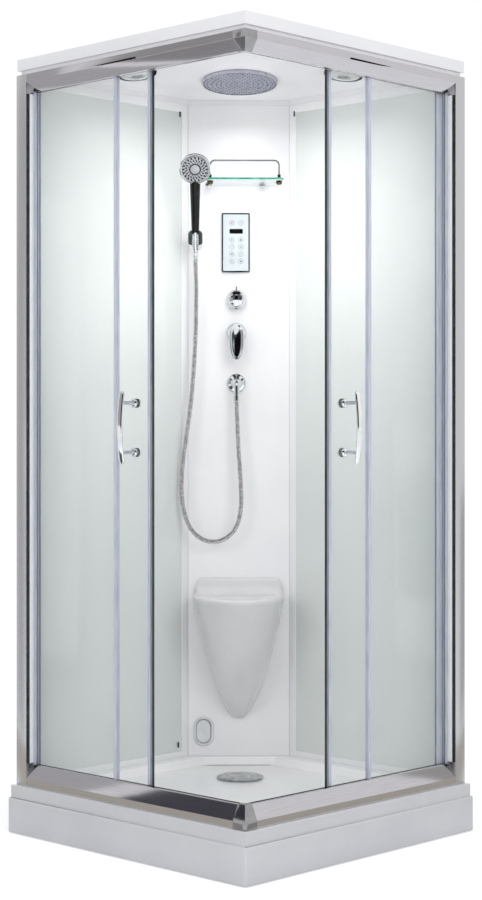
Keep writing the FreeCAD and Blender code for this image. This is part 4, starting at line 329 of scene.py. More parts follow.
def stadium(half_width, half_height, level, count=40, power=2.0):
    """A closed outline: round at power 2, squarer above it."""
    outline = []
    for k in range(count):
        turn = 2 * math.pi * k / count
        c, s = math.cos(turn), math.sin(turn)
        outline.append((half_width * math.copysign(abs(c) ** (2 / power), c),
                        half_height * math.copysign(abs(s) ** (2 / power), s), level))
    return outline


def rounded(width, height, radius, level, corner=5, dx=0.0, dy=0.0):
    """A rounded rectangle about the place's origin."""
    outline = []
    for cx, cy, start in ((1, 1, 0), (-1, 1, 90), (-1, -1, 180), (1, -1, 270)):
        for k in range(corner + 1):
            turn = math.radians(start + 90 * k / corner)
            outline.append((dx + cx * (width / 2 - radius) + radius * math.cos(turn),
                            dy + cy * (height / 2 - radius) + radius * math.sin(turn), level))
    return outline


def loft(bm, rings, where, paint=0, closed=False):
    """Skins the rings in turn and caps both ends, or joins them in a loop."""
    rows = [[bm.verts.new(where @ Vector(p)) for p in ring] for ring in rings]
    pairs = list(zip(rows, rows[1:]))
    if closed:
        pairs.append((rows[-1], rows[0]))
    made = []
    for low, high in pairs:
        for i in range(len(low)):
            j = (i + 1) % len(low)
            made.append(bm.faces.new((low[i], low[j], high[j], high[i])))
    if not closed:
        made.append(bm.faces.new(list(reversed(rows[0]))))
        made.append(bm.faces.new(rows[-1]))
    for face in made:
        face.material_index = paint
    return made


def turned(bm, profile, where, paint=0, count=48):
    """A turned part: (radius, height) from one end to the other."""
    return loft(bm, [circle(max(radius, 0.05), level, count) for radius, level in profile], where, paint)


def hoop(bm, section, where, paint=0, count=48):
    """A round ring: its section as (radius, height), joined back to its start."""
    loft(bm, [circle(radius, level, count) for radius, level in section], where, paint, closed=True)


def swept(bm, section, start, end, steps, where, paint=0):
    """Part of a round ring: a section (radius, height) turned between two angles in degrees."""
    rows = []
    for k in range(steps + 1):
        turn = math.radians(start + (end - start) * k / steps)
        rows.append([(radius * math.cos(turn), radius * math.sin(turn), level) for radius, level in section])
    loft(bm, rows, where, paint)


def plate(bm, width, height, radius, low, high, where, paint=0, edge=0.6, dx=0.0, dy=0.0):
    """A flat plate with rounded corners and eased edges."""
    eased = [(edge, 0), (edge * 0.3, edge * 0.3), (0, edge)]
    steps = [(i, low + z) for i, z in eased] + [(i, high - z) for i, z in reversed(eased)]
    loft(bm, [rounded(width - 2 * i, height - 2 * i, max(radius - i, 0.1), level, dx=dx, dy=dy)
              for i, level in steps], where, paint)


def round_bar(bm, points, radius, where, paint=0, count=14):
    """A bent round bar through the points, in the place's millimetres."""
    points = [Vector(p) for p in points]
    rings = []
    side = None
    for i, point in enumerate(points):
        before = points[max(i - 1, 0)]
        after = points[min(i + 1, len(points) - 1)]
        line = (after - before).normalized()
        side = line.orthogonal() if side is None else side - line * side.dot(line)
        side.normalize()
        other = line.cross(side)
        rings.append([point + side * (radius * math.cos(2 * math.pi * k / count))
                      + other * (radius * math.sin(2 * math.pi * k / count)) for k in range(count)])
    loft(bm, rings, where, paint)


def bevelled(bm, width, angle=28, segments=2, longer=0.0):
    """Eases the sharp edges that have room for it."""
    edges = []
    for edge in bm.edges:
        if len(edge.link_faces) != 2 or edge.calc_length() < max(width * 4, longer):
            continue
        if edge.calc_face_angle(0) < math.radians(angle):
            continue
        if min(face.calc_area() / edge.calc_length() for face in edge.link_faces) > width * 2.2:
            edges.append(edge)
    bmesh.ops.bevel(bm, geom=edges, offset=width, segments=segments, profile=0.6, affect="EDGES",
                    clamp_overlap=True)


def piece(name, bm, materials, body, replaces=(), sharp=32, tidy=True):
    """Makes the workpiece a finished piece that rides on its body."""
    if tidy:
        bmesh.ops.remove_doubles(bm, verts=bm.verts, dist=2e-6)
        bmesh.ops.recalc_face_normals(bm, faces=bm.faces)
    for face in bm.faces:
        face.smooth = True
    for edge in bm.edges:
        edge.smooth = edge.calc_face_angle(0) < math.radians(sharp)
    mesh = bpy.data.meshes.new(name)
    bm.to_mesh(mesh)
    bm.free()
    for material in materials:
        mesh.materials.append(material)
    made = bpy.data.objects.new(name, mesh)
    scene.collection.objects.link(made)
    if replaces:
        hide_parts(*replaces)
    if body:
        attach(made, body)
    return made


def merged_copy(node):
    """A CAD node's mesh with its loose triangles joined into flat faces."""
    bm = bmesh.new()
    bm.from_mesh(frame["nodes"][node].data)
    bmesh.ops.remove_doubles(bm, verts=bm.verts, dist=1e-5)
    bmesh.ops.dissolve_limit(bm, angle_limit=math.radians(0.8), verts=bm.verts, edges=bm.edges)
    return bm


def softened(node, material, width, longer=0.0, sharp=32):
    """A CAD node's own shape with its edges eased."""
    bm = merged_copy(node)
    bevelled(bm, width * MM, longer=longer)
    for face in bm.faces:
        face.material_index = 0
    piece(f"{node}_shaped", bm, [material], frame["nodes"][node]["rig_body"], (node,), sharp, False)


def paint_node(node, material):
    for slot in frame["nodes"][node].material_slots:
        slot.material = material


# ----------------------------------------------------- Geometry Nodes trees
SOCKETS = {type(None): "NodeSocketMaterial", int: "NodeSocketInt", float: "NodeSocketFloat"}


class Tree:
    """A Geometry Nodes tree whose sizes are named inputs."""

    def __init__(self, name, **sizes):
        self.group = bpy.data.node_groups.new(name, "GeometryNodeTree")
        self.nodes = self.group.nodes
        self.links = self.group.links
        self.group.interface.new_socket("Geometry", in_out="INPUT", socket_type="NodeSocketGeometry")
        self.group.interface.new_socket("Geometry", in_out="OUTPUT", socket_type="NodeSocketGeometry")
        for label, value in sizes.items():
            kind = SOCKETS[type(value)]
            socket = self.group.interface.new_socket(label, in_out="INPUT", socket_type=kind)
            if value is not None:
                socket.default_value = value
        self.inputs = self.nodes.new("NodeGroupInput").outputs
        self.result = self.nodes.new("NodeGroupOutput").inputs[0]

    def add(self, kind, *values, **settings):
        """One node: values fill its inputs in order, None leaves one alone."""
        made = self.nodes.new(kind)
        for name, value in settings.items():
            setattr(made, name, value)
        sockets = [s for s in made.inputs if s.enabled]
        for socket, value in zip(sockets, values):
            if isinstance(value, bpy.types.NodeSocket):
                self.links.new(value, socket)
            elif value is not None:
                socket.default_value = value
        return made.outputs[0]

    def math(self, operation, a, b=None):
        return self.add("ShaderNodeMath", a, b, operation=operation)

    def close(self, geometry, material):
        real = self.add("GeometryNodeRealizeInstances", geometry)
        painted = self.add("GeometryNodeSetMaterial", real, None, material)
        self.links.new(painted, self.result)


def grown(base, tree, **values):
    """The plain mesh that a tree makes from a base mesh."""
    carrier = bpy.data.objects.new("carrier", base)
    scene.collection.objects.link(carrier)
    modifier = carrier.modifiers.new("tree", "NODES")
    modifier.node_group = tree.group
    for item in tree.group.interface.items_tree:
        if item.in_out == "INPUT" and item.name in values:
            modifier[item.identifier] = values[item.name]
    ready = carrier.evaluated_get(bpy.context.evaluated_depsgraph_get())
    mesh = bpy.data.meshes.new_from_object(ready)
    bpy.data.objects.remove(carrier)
    return mesh


def added(bm, mesh, where, paint=0):
    """Puts a grown mesh into a workpiece."""
    start = len(bm.faces)
    mesh.transform(where)
    bm.from_mesh(mesh)
    bm.faces.ensure_lookup_table()
    for face in bm.faces[start:]:
        face.material_index = paint


def nozzle_disc_tree():
    """Nozzles in rings: ring k holds six times k of them, one pitch apart."""
    tree = Tree("nozzle_disc", Rings=8, Pitch=11.0, Radius=1.6, Height=2.0, Finish=None)
    geometry, rings, pitch, radius, height, finish = tree.inputs[:6]
    last = tree.math("MULTIPLY", rings, tree.math("ADD", rings, 1.0))
    count = tree.math("MULTIPLY", last, 3.0)
    points = tree.add("GeometryNodePoints", count)
    index = tree.math("ADD", tree.add("GeometryNodeInputIndex"), 1.0)
    root = tree.math("SQRT", tree.math("SUBTRACT", tree.math("MULTIPLY", index, 12.0), 3.0))
    ring = tree.math("FLOOR", tree.math("DIVIDE", tree.math("ADD", root, 3.0), 6.0))
    before = tree.math("MULTIPLY", tree.math("MULTIPLY", ring, tree.math("SUBTRACT", ring, 1.0)), 3.0)
    step = tree.math("DIVIDE", tree.math("SUBTRACT", index, before), tree.math("MULTIPLY", ring, 6.0))
    turn = tree.math("MULTIPLY", step, 2 * math.pi)
    reach = tree.math("MULTIPLY", ring, pitch)
    spot = tree.add("ShaderNodeCombineXYZ", tree.math("MULTIPLY", reach, tree.math("COSINE", turn)),
                    tree.math("MULTIPLY", reach, tree.math("SINE", turn)))
    placed = tree.add("GeometryNodeSetPosition", points, None, spot)
    nozzle = tree.add("GeometryNodeMeshCone", 10, 1, 1, tree.math("MULTIPLY", radius, 0.6), radius, height)
    copies = tree.add("GeometryNodeInstanceOnPoints", placed, None, nozzle)
    tree.close(copies, finish)
    return tree


def slot_ring_tree():
    """Long oval nozzles set round a ring, each turned a little from the radius."""
    tree = Tree("slot_ring", Count=18, Ring=30.0, Length=6.0, Width=3.0, Height=1.0, Slant=0.5, Start=0.0,
                Finish=None)
    geometry, count, ring, length, width, height, slant, start, finish = tree.inputs[:9]
    points = tree.add("GeometryNodePoints", count)
    share = tree.math("DIVIDE", tree.add("GeometryNodeInputIndex"), count)
    turn = tree.math("ADD", tree.math("MULTIPLY", share, 2 * math.pi), start)
    spot = tree.add("ShaderNodeCombineXYZ", tree.math("MULTIPLY", ring, tree.math("COSINE", turn)),
                    tree.math("MULTIPLY", ring, tree.math("SINE", turn)))
    placed = tree.add("GeometryNodeSetPosition", points, None, spot)
    nozzle = tree.add("GeometryNodeMeshUVSphere", 12, 6, 0.5)
    swivel = tree.add("ShaderNodeCombineXYZ", None, None, tree.math("ADD", turn, slant))
    size = tree.add("ShaderNodeCombineXYZ", length, width, height)
    copies = tree.add("GeometryNodeInstanceOnPoints", placed, None, nozzle, None, None, swivel, size)
    tree.close(copies, finish)
    return tree


def ribbed_hose_tree():
    """A metal hose: its wound ribs rise and fall along the path."""
    tree = Tree("ribbed_hose", Pitch=0.0036, Radius=0.007, Depth=0.0009, Sides=16, Finish=None)
    geometry, pitch, radius, depth, sides, finish = tree.inputs[:6]
    line = tree.add("GeometryNodeMeshToCurve", geometry)
    rows = tree.nodes.new("GeometryNodeResampleCurve")
    rows.mode = "LENGTH"
    tree.links.new(line, rows.inputs["Curve"])
    tree.links.new(tree.math("DIVIDE", pitch, 4.0), rows.inputs["Length"])
    wave = tree.math("COSINE", tree.math("MULTIPLY", tree.add("GeometryNodeInputIndex"), math.pi / 2))
    fall = tree.math("MULTIPLY", tree.math("SUBTRACT", 1.0, wave), 0.5)
    dip = tree.math("MULTIPLY", tree.math("DIVIDE", depth, radius), fall)
    skin = tree.nodes.new("GeometryNodeCurveToMesh")
    tree.links.new(rows.outputs["Curve"], skin.inputs["Curve"])
    profile = tree.nodes.new("GeometryNodeCurvePrimitiveCircle")
    profile.mode = "RADIUS"
    tree.links.new(sides, profile.inputs["Resolution"])
    tree.links.new(radius, profile.inputs["Radius"])
    tree.links.new(profile.outputs["Curve"], skin.inputs["Profile Curve"])
    tree.links.new(tree.math("SUBTRACT", 1.0, dip), skin.inputs["Scale"])
    skin.inputs["Fill Caps"].default_value = True
    tree.close(skin.outputs["Mesh"], finish)
    return tree


# ---------------------------------------------------------- camera and light
def photograph_camera():
    """The view of the photograph, level, from in front of the corner."""
    data = bpy.data.cameras.new("photograph")
    data.lens = 74.32
    data.sensor_width = 36
    data.shift_y = -0.01778
    data.clip_start = 0.1
    data.clip_end = 60
    camera = bpy.data.objects.new("photograph", data)
    swing = 0.016
    sight = -OUT * math.cos(swing) + ACROSS * math.sin(swing)
    camera.location = (3.5269, -3.6422, 1.0841)
    camera.rotation_euler = sight.to_track_quat("-Z", "Y").to_euler()
    scene.collection.objects.link(camera)
    scene.camera = camera


def softbox(name, spot, target, width, height, power):
    data = bpy.data.lights.new(name, "AREA")
    data.shape = "RECTANGLE"
    data.size = width
    data.size_y = height
    data.energy = power
    lamp = bpy.data.objects.new(name, data)
    lamp.location = spot
    lamp.rotation_euler = (Vector(target) - Vector(spot)).to_track_quat("-Z", "Y").to_euler()
    scene.collection.objects.link(lamp)
    lamp.visible_glossy = False
    lamp.visible_camera = False


def seen_rays(nodes, links):
    """One where a camera, mirrored or see-through ray arrives."""
    path = nodes.new("ShaderNodeLightPath")
    total = path.outputs["Is Camera Ray"]
    for name in ("Is Glossy Ray", "Is Transmission Ray"):
        either = nodes.new("ShaderNodeMath")
        either.operation = "MAXIMUM"
        links.new(total, either.inputs[0])
        links.new(path.outputs[name], either.inputs[1])
        total = either.outputs[0]
    return total


def studio_world():
    world = bpy.data.worlds.new("studio")
    world.use_nodes = True
    nodes, links = world.node_tree.nodes, world.node_tree.links
    room = nodes["Background"]
    room.inputs["Color"].default_value = (0.95, 0.97, 1.0, 1)
    room.inputs["Strength"].default_value = 0.8
    white = nodes.new("ShaderNodeBackground")
    white.inputs["Color"].default_value = (1, 1, 1, 1)
    mix = nodes.new("ShaderNodeMixShader")
    links.new(seen_rays(nodes, links), mix.inputs[0])
    links.new(room.outputs[0], mix.inputs[1])
    links.new(white.outputs[0], mix.inputs[2])
    links.new(mix.outputs[0], nodes["World Output"].inputs["Surface"])
    scene.world = world


def studio_floor():
    """A pale floor that keeps the cabin's shadow and runs into the white."""
    finish = Finish("studio_floor", roughness=0.9, specular=0.0)
    finish.tint(finish.noise(2), (226, 226, 226), (230, 230, 230))
    nodes, links = finish.nodes, finish.links
    glow = nodes.new("ShaderNodeEmission")
    links.new(seen_rays(nodes, links), glow.inputs["Strength"])
    glow.inputs["Color"].default_value = (0.42, 0.42, 0.42, 1)
    both = nodes.new("ShaderNodeAddShader")
    links.new(finish.shader.outputs[0], both.inputs[0])
    links.new(glow.outputs[0], both.inputs[1])
    links.new(both.outputs[0], nodes["Material Output"].inputs["Surface"])
    bm = bmesh.new()
    bmesh.ops.create_grid(bm, x_segments=4, y_segments=4, size=14)
    bmesh.ops.translate(bm, verts=bm.verts, vec=(0, 0, -0.0005))
    mesh = bpy.data.meshes.new("studio_floor")
    bm.to_mesh(mesh)
    bm.free()
    mesh.materials.append(finish.material)
    floor = bpy.data.objects.new("studio_floor", mesh)
    scene.collection.objects.link(floor)


def soft_globe(name, spot, radius, power):
    """A round soft light, seen by nothing but what it lights."""
    data = bpy.data.lights.new(name, "POINT")
    data.shadow_soft_size = radius
    data.energy = power
    lamp = bpy.data.objects.new(name, data)
    lamp.location = spot
    scene.collection.objects.link(lamp)
    lamp.visible_glossy = False
    lamp.visible_camera = False


def studio_lamps():
    softbox("key_softbox", (5.2, -1.2, 3.4), (0, 0, 1.1), 2.6, 2.6, 80)
    softbox("fill_softbox", (0.6, -5.4, 2.6), (0, 0, 1.1), 2.6, 2.6, 48)
    softbox("ceiling_softbox", (-0.04, 0.04, 2.0), (-0.04, 0.041, 0), 0.5, 0.5, 1.3)
    soft_globe("cabin_globe", (0.0, 0.0, 1.72), 0.24, 4.4)


def studio_cards():
    """Cards that only the polished metal mirrors, as in any studio."""
    flag("card_in_front", (2.6, -2.6, 2.62), 8.0, 3.2, (0, 0, 1.4), (14, 14, 16))
    flag("card_overhead", (-0.04, 0.04, 2.04), 0.78, 0.78, (-0.02, 0.02, 0), (30, 30, 33))
    flag("card_left_upper", (-3.3, -4.0, 3.1), 1.6, 1.2, (-3.55, 0, 3.1), (176, 174, 174))
    flag("card_left_middle", (-0.36, -1.0, 1.45), 0.86, 0.66, (-0.36, 0, 1.45), (168, 166, 168))
    flag("card_left_lower", (-0.3, -1.0, 0.6), 0.9, 0.6, (-0.3, 0, 0.6), (84, 84, 92))
    flag("card_left_far", (-1.26, -1.0, 1.15), 0.7, 2.5, (-1.26, 0, 1.15), (202, 200, 202))
    flag("card_right_lower", (1.0, 1.62, 0.4), 0.9, 0.9, (0, 1.62, 0.4), (184, 182, 180))
    flag("card_left_floor", (-0.5, -0.62, 0.08), 1.6, 0.14, (-0.5, 0, 0.08), (200, 195, 184))
    flag("card_right_floor", (0.62, 0.5, 0.08), 1.6, 0.14, (0, 0.5, 0.08), (200, 195, 184))


def flag(name, centre, width, height, target, shade):
    """A card beside the set that only mirrors see, to draw metal edges."""
    material = bpy.data.materials.new(name)
    material.use_nodes = True
    nodes, links = material.node_tree.nodes, material.node_tree.links
    glow = nodes.new("ShaderNodeEmission")
    glow.inputs["Color"].default_value = (*linear(*shade), 1)
    links.new(glow.outputs[0], nodes["Material Output"].inputs["Surface"])
    bm = bmesh.new()
    bmesh.ops.create_grid(bm, x_segments=1, y_segments=1, size=0.5)
    look = (Vector(target) - Vector(centre)).to_track_quat("Z", "Y").to_matrix().to_4x4()
    bm.transform(Matrix.Translation(Vector(centre)) @ look @ Matrix.Diagonal((width, height, 1, 1)))
    mesh = bpy.data.meshes.new(name)
    bm.to_mesh(mesh)
    bm.free()
    mesh.materials.append(material)
    card = bpy.data.objects.new(name, mesh)
    scene.collection.objects.link(card)
    card.visible_camera = False
    card.visible_diffuse = False
    card.visible_shadow = False
    card.visible_transmission = False


# ---------------------------------------------------------------- the hose
HOSE_RADIUS = 0.007
HOSE_LOWER = [
    (34, -7, 1180), (35, -5, 1115), (38, -1, 1030), (42, 5, 945), (46, 8, 870), (49, -6, 806),
    (50, -46, 769), (50, -98, 766), (49, -143, 800), (48, -166, 865), (46, -171, 945),
    (44, -161, 1040), (42, -146, 1135), (40, -136, 1232), (38, -130, 1327), (37, -126, 1420),
    (37, -126, 1512),
]
HOSE_UPPER = [(37, -126, 1512), (37, -126, 1543), (36, -128, 1573), (51.07, -128, 1602.1)]


def hose_line(name, route):
    """The smooth line a hose follows, read from its NURBS route."""
    data = bpy.data.curves.new(name, "CURVE")
    data.dimensions = "3D"
    spline = data.splines.new("NURBS")
    spline.points.add(len(route) - 1)
    for point, spot in zip(spline.points, route):
        point.co = (*(column_point(*spot) * MM), 1)
    spline.order_u = 3
    spline.use_endpoint_u = True
    spline.resolution_u = 16
    carrier = bpy.data.objects.new(name, data)
    scene.collection.objects.link(carrier)
    line = bpy.data.meshes.new_from_object(carrier.evaluated_get(bpy.context.evaluated_depsgraph_get()))
    bpy.data.objects.remove(carrier)
    return line


def hose(name, route, material, ends):
    line = hose_line(name + "_route", route)
    mesh = grown(line, RIBBED_HOSE, Radius=HOSE_RADIUS, Finish=material)
    bm = bmesh.new()
    bm.from_mesh(mesh)
    made = piece(name, bm, [material], None, (ends[0],), sharp=60)
    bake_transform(made)


# ------------------------------------------------------------- the handset
HANDLE_FOOT = -34
HANDLE_TOP = 184
HEAD_RADIUS = 46


def handle_radius(distance):
    """The handle widens by three millimetres from its foot to the head."""
    return 9.5 + 3.0 * (distance - HANDLE_FOOT) / (HEAD_DISTANCE - HANDLE_FOOT - HEAD_RADIUS)


def make_handset(chrome_finish, black):
    """A chrome handle whose front is painted black as a dark reflection, and the shell of its head."""
    bm = bmesh.new()
    where = along_handle(0)
    rings = []
    steps = 14
    for k in range(steps + 1):
        distance = HANDLE_FOOT + (HANDLE_TOP - HANDLE_FOOT) * k / steps
        radius = handle_radius(distance)
        if k == 0:
            rings.append(stadium(radius - 1.5, radius - 1.5, distance))
            rings.append(stadium(radius, radius, distance + 1.5))
            continue
        rings.append(stadium(radius * 0.93, radius * (1.0 + 0.22 * k / steps), distance, 40, 2.3))
    for face in loft(bm, rings, where, 0):
        centre = where.inverted() @ face.calc_center_median()
        face.normal_update()
        # The handle's front faces take the black finish: a painted dark reflection on the chrome.
        if centre.z > 26 and centre.x > -3 and abs(face.normal.dot(HANDLE_LINE)) < 0.5:
            face.material_index = 1
    turned(bm, [(7.6, -54), (9, -52.5), (9, -48), (8.3, -47), (8.3, -45), (9, -44), (9, -36.5), (8, -34.5),
                (7, -33)], where, 0, 36)
    head = facing_spray(HEAD_DISTANCE)
    turned(bm, [(0, -11), (14, -10.6), (25.3, -9.6), (34, -7.2), (40.5, -3.6), (44.4, 0.6), (46, 4.6),
                (46, 7.4), (45, 9.0), (43.4, 9.4), (42.2, 9.0), (41.2, 8.0), (41.2, 4.4),
                (0, 4.4)], head, 0, 64)
    piece("handset_chrome", bm, [chrome_finish, black], "hand_shower", ("handset",))


# Nozzles of each ring: how many, ring radius, length, width and first angle.
SPRAY_RINGS = ((20, 33.4, 8.2, 4.6, 0.0), (20, 25.8, 7.2, 4.0, 0.16), (16, 20.2, 4.0, 2.8, 0.0))


def make_spray_plate(grey, dark, chrome_finish, rubber):
    """The turning plate: rings of long nozzles round a bright centre."""
    bm = bmesh.new()
    face = facing_spray(HEAD_DISTANCE, 4)
    turned(bm, [(0, 0.6), (40.4, 0.6), (40.9, 1.2), (40.9, 4.8), (39.4, 6.1), (36.5, 6.7), (20, 6.9),
                (0, 6.9)], face, 0, 64)
    hoop(bm, [(40.6, 5.2), (40.2, 6.3), (39.0, 7.0), (38.0, 6.9), (38.2, 5.8)], face, 2, 64)
    hoop(bm, [(38.4, 6.0), (38.2, 7.2), (36.9, 7.2), (36.7, 6.0)], face, 1, 64)
    hoop(bm, [(17.6, 6.4), (17.2, 7.3), (13.6, 7.3), (13.2, 6.4)], face, 1, 48)
    turned(bm, [(0, 6.0), (12.6, 6.0), (12.6, 7.2), (11.8, 7.6), (0, 7.7)], face, 0, 40)
    for count, ring, length, width, start in SPRAY_RINGS:
        nozzles = grown(bpy.data.meshes.new("nozzles"), SLOT_RING, Count=count, Ring=ring, Length=length,
                        Width=width, Height=4.0, Slant=0.45, Start=start, Finish=rubber)
        added(bm, nozzles, face @ Matrix.Translation((0, 0, 6.8)), 3)
    piece("handset_spray_plate", bm, [grey, dark, chrome_finish, rubber], "spray_dial",
          ("handset_spray_dial",))


def make_holder_clip(grip, chrome_finish):
    """Two ribbed grips either side of a slotted chrome cup."""
    bm = bmesh.new()
    where = along_handle(0)
    cup = [(11.5, -27), (15.5, -27), (17.5, -24.5), (19.8, -17), (20.6, -10), (20.6, -7.5), (12.2, -7.5)]
    swept(bm, cup, 22, 338, 60, where, 1)
    ribs, ribbed_height = 5, 31
    step = ribbed_height / ribs
    section = []
    for k in range(ribs):
        base = -7 + step * k
        section += [(19.6, base), (21.0, base + 0.9), (21.0, base + step * 0.62), (19.6, base + step * 0.78)]
    section += [(19.2, 24.6), (17.6, 26.6), (13.2, 27.0), (12.9, 20), (11.9, -7)]
    for start, end in ((-152, -28), (28, 152)):
        swept(bm, section, start, end, 18, where)
    lips = [(19.8, -7.4), (20.4, 0), (19.4, 14), (18.6, 26), (13.4, 26.6), (12.6, 0), (12.2, -7.4)]
    for start, end in ((-29, -20), (20, 29)):
        swept(bm, lips, start, end, 6, where, 1)
    swept(bm, [(19.4, -8), (19.4, 22), (17.8, 24.5), (13.4, 24.5), (12.3, -8)], 150, 210, 8, where, 1)
    pivot = column_point(*HOLDER_PIVOT)
    for side in (-1, 1):
        ear = place(pivot + ACROSS * side * 10.9, OUT, UP, -ACROSS)
        loft(bm, [rounded(27, 12, 5.6, z, dx=7.5) for z in (-2.2, 2.2)], ear, 1)
    piece("holder_clip_grips", bm, [grip, chrome_finish], "holder", ("holder_clip",))


def make_holder_bracket(chrome_finish):
    bm = bmesh.new()
    foot = on_column(0, *HOLDER[1:])
    turned(bm, [(16.2, 0), (17, 0.8), (17, 3.4), (16.2, 5.2), (13.5, 6.6), (9, 7.4), (7.2, 9), (7, 12),
                (7, 34.6), (0, 34.8)], foot, 0, 44)
    barrel = place(column_point(*HOLDER_PIVOT), UP, OUT, ACROSS)
    turned(bm, [(6.6, -8), (8, -7.2), (8, -2.4), (7.5, -1.9), (7.5, 1.9), (8, 2.4), (8, 7.2),
                (6.6, 8)], barrel, 0, 32)
    turned(bm, [(2.6, -13), (3, -12.4), (3, 12.4), (2.6, 13)], barrel, 0, 20)
    piece("holder_bracket_chrome", bm, [chrome_finish], "cabin", ("holder_bracket",))


# --------------------------------------------------------------- the valves
def make_escutcheons(chrome_finish):
    bm = bmesh.new()
    for level in (DIVERTER_LEVEL, MIXER_LEVEL):
        turned(bm, [(29.2, 0), (30, 0.7), (30, 2.6), (29.4, 4), (27.6, 6.1), (25.6, 7.4), (24, 8),
                    (9.2, 8), (9.2, 0)], on_column(0, VALVE_ACROSS, level), 0, 56)
    piece("valve_escutcheons_chrome", bm, [chrome_finish], "cabin", ("valve_escutcheons",))


def make_diverter(chrome_finish, dark):
    """A domed knob with a dark joint line and a small pin to turn it by."""
    bm = bmesh.new()
    where = on_column(8.5, VALVE_ACROSS, DIVERTER_LEVEL)
    turned(bm, [(9.1, 0), (25.6, 0), (26.4, 0.8), (26.4, 4.5), (25.8, 5.0)], where, 0, 56)
    turned(bm, [(25, 4.6), (25, 6.2)], where, 1, 56)
    turned(bm, [(25.6, 5.8), (26.4, 6.4), (26.4, 12), (25.8, 15), (24.2, 17.4), (20.8, 19.8), (15, 22.2),
                (8, 24), (3, 24.6), (0, 24.7)], where, 0, 56)
    pin = standing(8.5 + 12, VALVE_ACROSS, DIVERTER_LEVEL)
    turned(bm, [(3, 20), (3, 34), (3.0, 36.4), (2.2, 37.6), (0, 38)], pin, 0, 20)
    piece("diverter_knob_chrome", bm, [chrome_finish, dark], "diverter", ("diverter_knob",))


def make_mixer_dome(chrome_finish):
    bm = bmesh.new()
    where = on_column(8.5, VALVE_ACROSS, MIXER_LEVEL)
    turned(bm, [(9.1, 0), (24.4, 0), (25, 0.8), (25, 9), (24.6, 12), (23.4, 15.4), (21.4, 18),
                (18.5, 19.6), (14, 20), (0, 20)], where, 0, 56)
    for side in (-1, 1):
        cheek = place(column_point(33.5, VALVE_ACROSS + side * 11.5, MIXER_LEVEL), OUT, UP, -ACROSS)
        loft(bm, [rounded(14, 10, 4.4, z) for z in (-1.5, 1.5)], cheek, 0)
    pin = place(column_point(35.5, VALVE_ACROSS, MIXER_LEVEL), UP, OUT, ACROSS)
    turned(bm, [(2.1, -13), (2.5, -12.6), (2.5, 12.6), (2.1, 13)], pin, 0, 20)
    piece("mixer_dome_chrome", bm, [chrome_finish], "mixer", ("mixer_dome",))


def lever_outline(shrink, level):
    """The long drop of the lever, round at the top and narrow at the tip."""
    outline = []
    count = 48
    for k in range(count):
        turn = 2 * math.pi * k / count
        y = -27.5 + 54.5 * math.sin(turn)
        if y > -10:
            half = 22 * math.sqrt(max(1 - ((y + 10) / 37) ** 2, 0))
        else:
            half = 22 * max(1 - ((-y - 10) / 72) ** 2.6, 0) ** 0.4545
        x = math.copysign(half, math.cos(turn))
        outline.append((x * (1 - shrink / 22), -27.5 + (y + 27.5) * (1 - shrink / 54), level))
    return outline


def make_lever(chrome_finish):
    bm = bmesh.new()
    where = on_column(43, VALVE_ACROSS, MIXER_LEVEL)
    steps = ((2.2, 0), (0.5, 1.2), (0, 3), (0, 5.5), (0.8, 7.6), (2.4, 8.9), (4.2, 8.6), (6.6, 6.6),
             (10, 5.6))
    loft(bm, [lever_outline(shrink, level) for shrink, level in steps], where)
    neck = on_column(35.5, VALVE_ACROSS, MIXER_LEVEL)
    loft(bm, [rounded(19, 10, 2, 0), rounded(19, 10, 2, 8)], neck, 0)
    eye = place(column_point(35.5, VALVE_ACROSS, MIXER_LEVEL), UP, OUT, ACROSS)
    turned(bm, [(4.4, -9.5), (5, -9), (5, 9), (4.4, 9.5)], eye, 0, 28)
    piece("mixer_lever_chrome", bm, [chrome_finish], "lever", ("mixer_lever",))


def make_outlet(chrome_finish):
    bm = bmesh.new()
    where = on_column(0, VALVE_ACROSS, OUTLET_LEVEL)
    turned(bm, [(28.2, 0), (29, 0.6), (29, 2.4), (27.6, 4.4), (23.5, 6.6), (18, 8.6), (14, 10.6),
                (11.6, 13), (11, 16), (11, 34), (10.2, 38), (7.8, 41.8), (4.2, 44.2),
                (0, 45)], where, 0, 56)
    down = place(column_point(34, VALVE_ACROSS, OUTLET_LEVEL), OUT, -ACROSS, -UP)
    turned(bm, [(8, 0), (8, 26), (9, 27), (9.5, 28), (9.5, 33), (8.7, 34), (8.7, 36), (9.5, 37), (9.5, 52),
                (8.6, 53.4), (7.6, 54), (5.5, 54)], down, 0, 36)
    piece("hose_outlet_chrome", bm, [chrome_finish], "cabin", ("hose_outlet",))


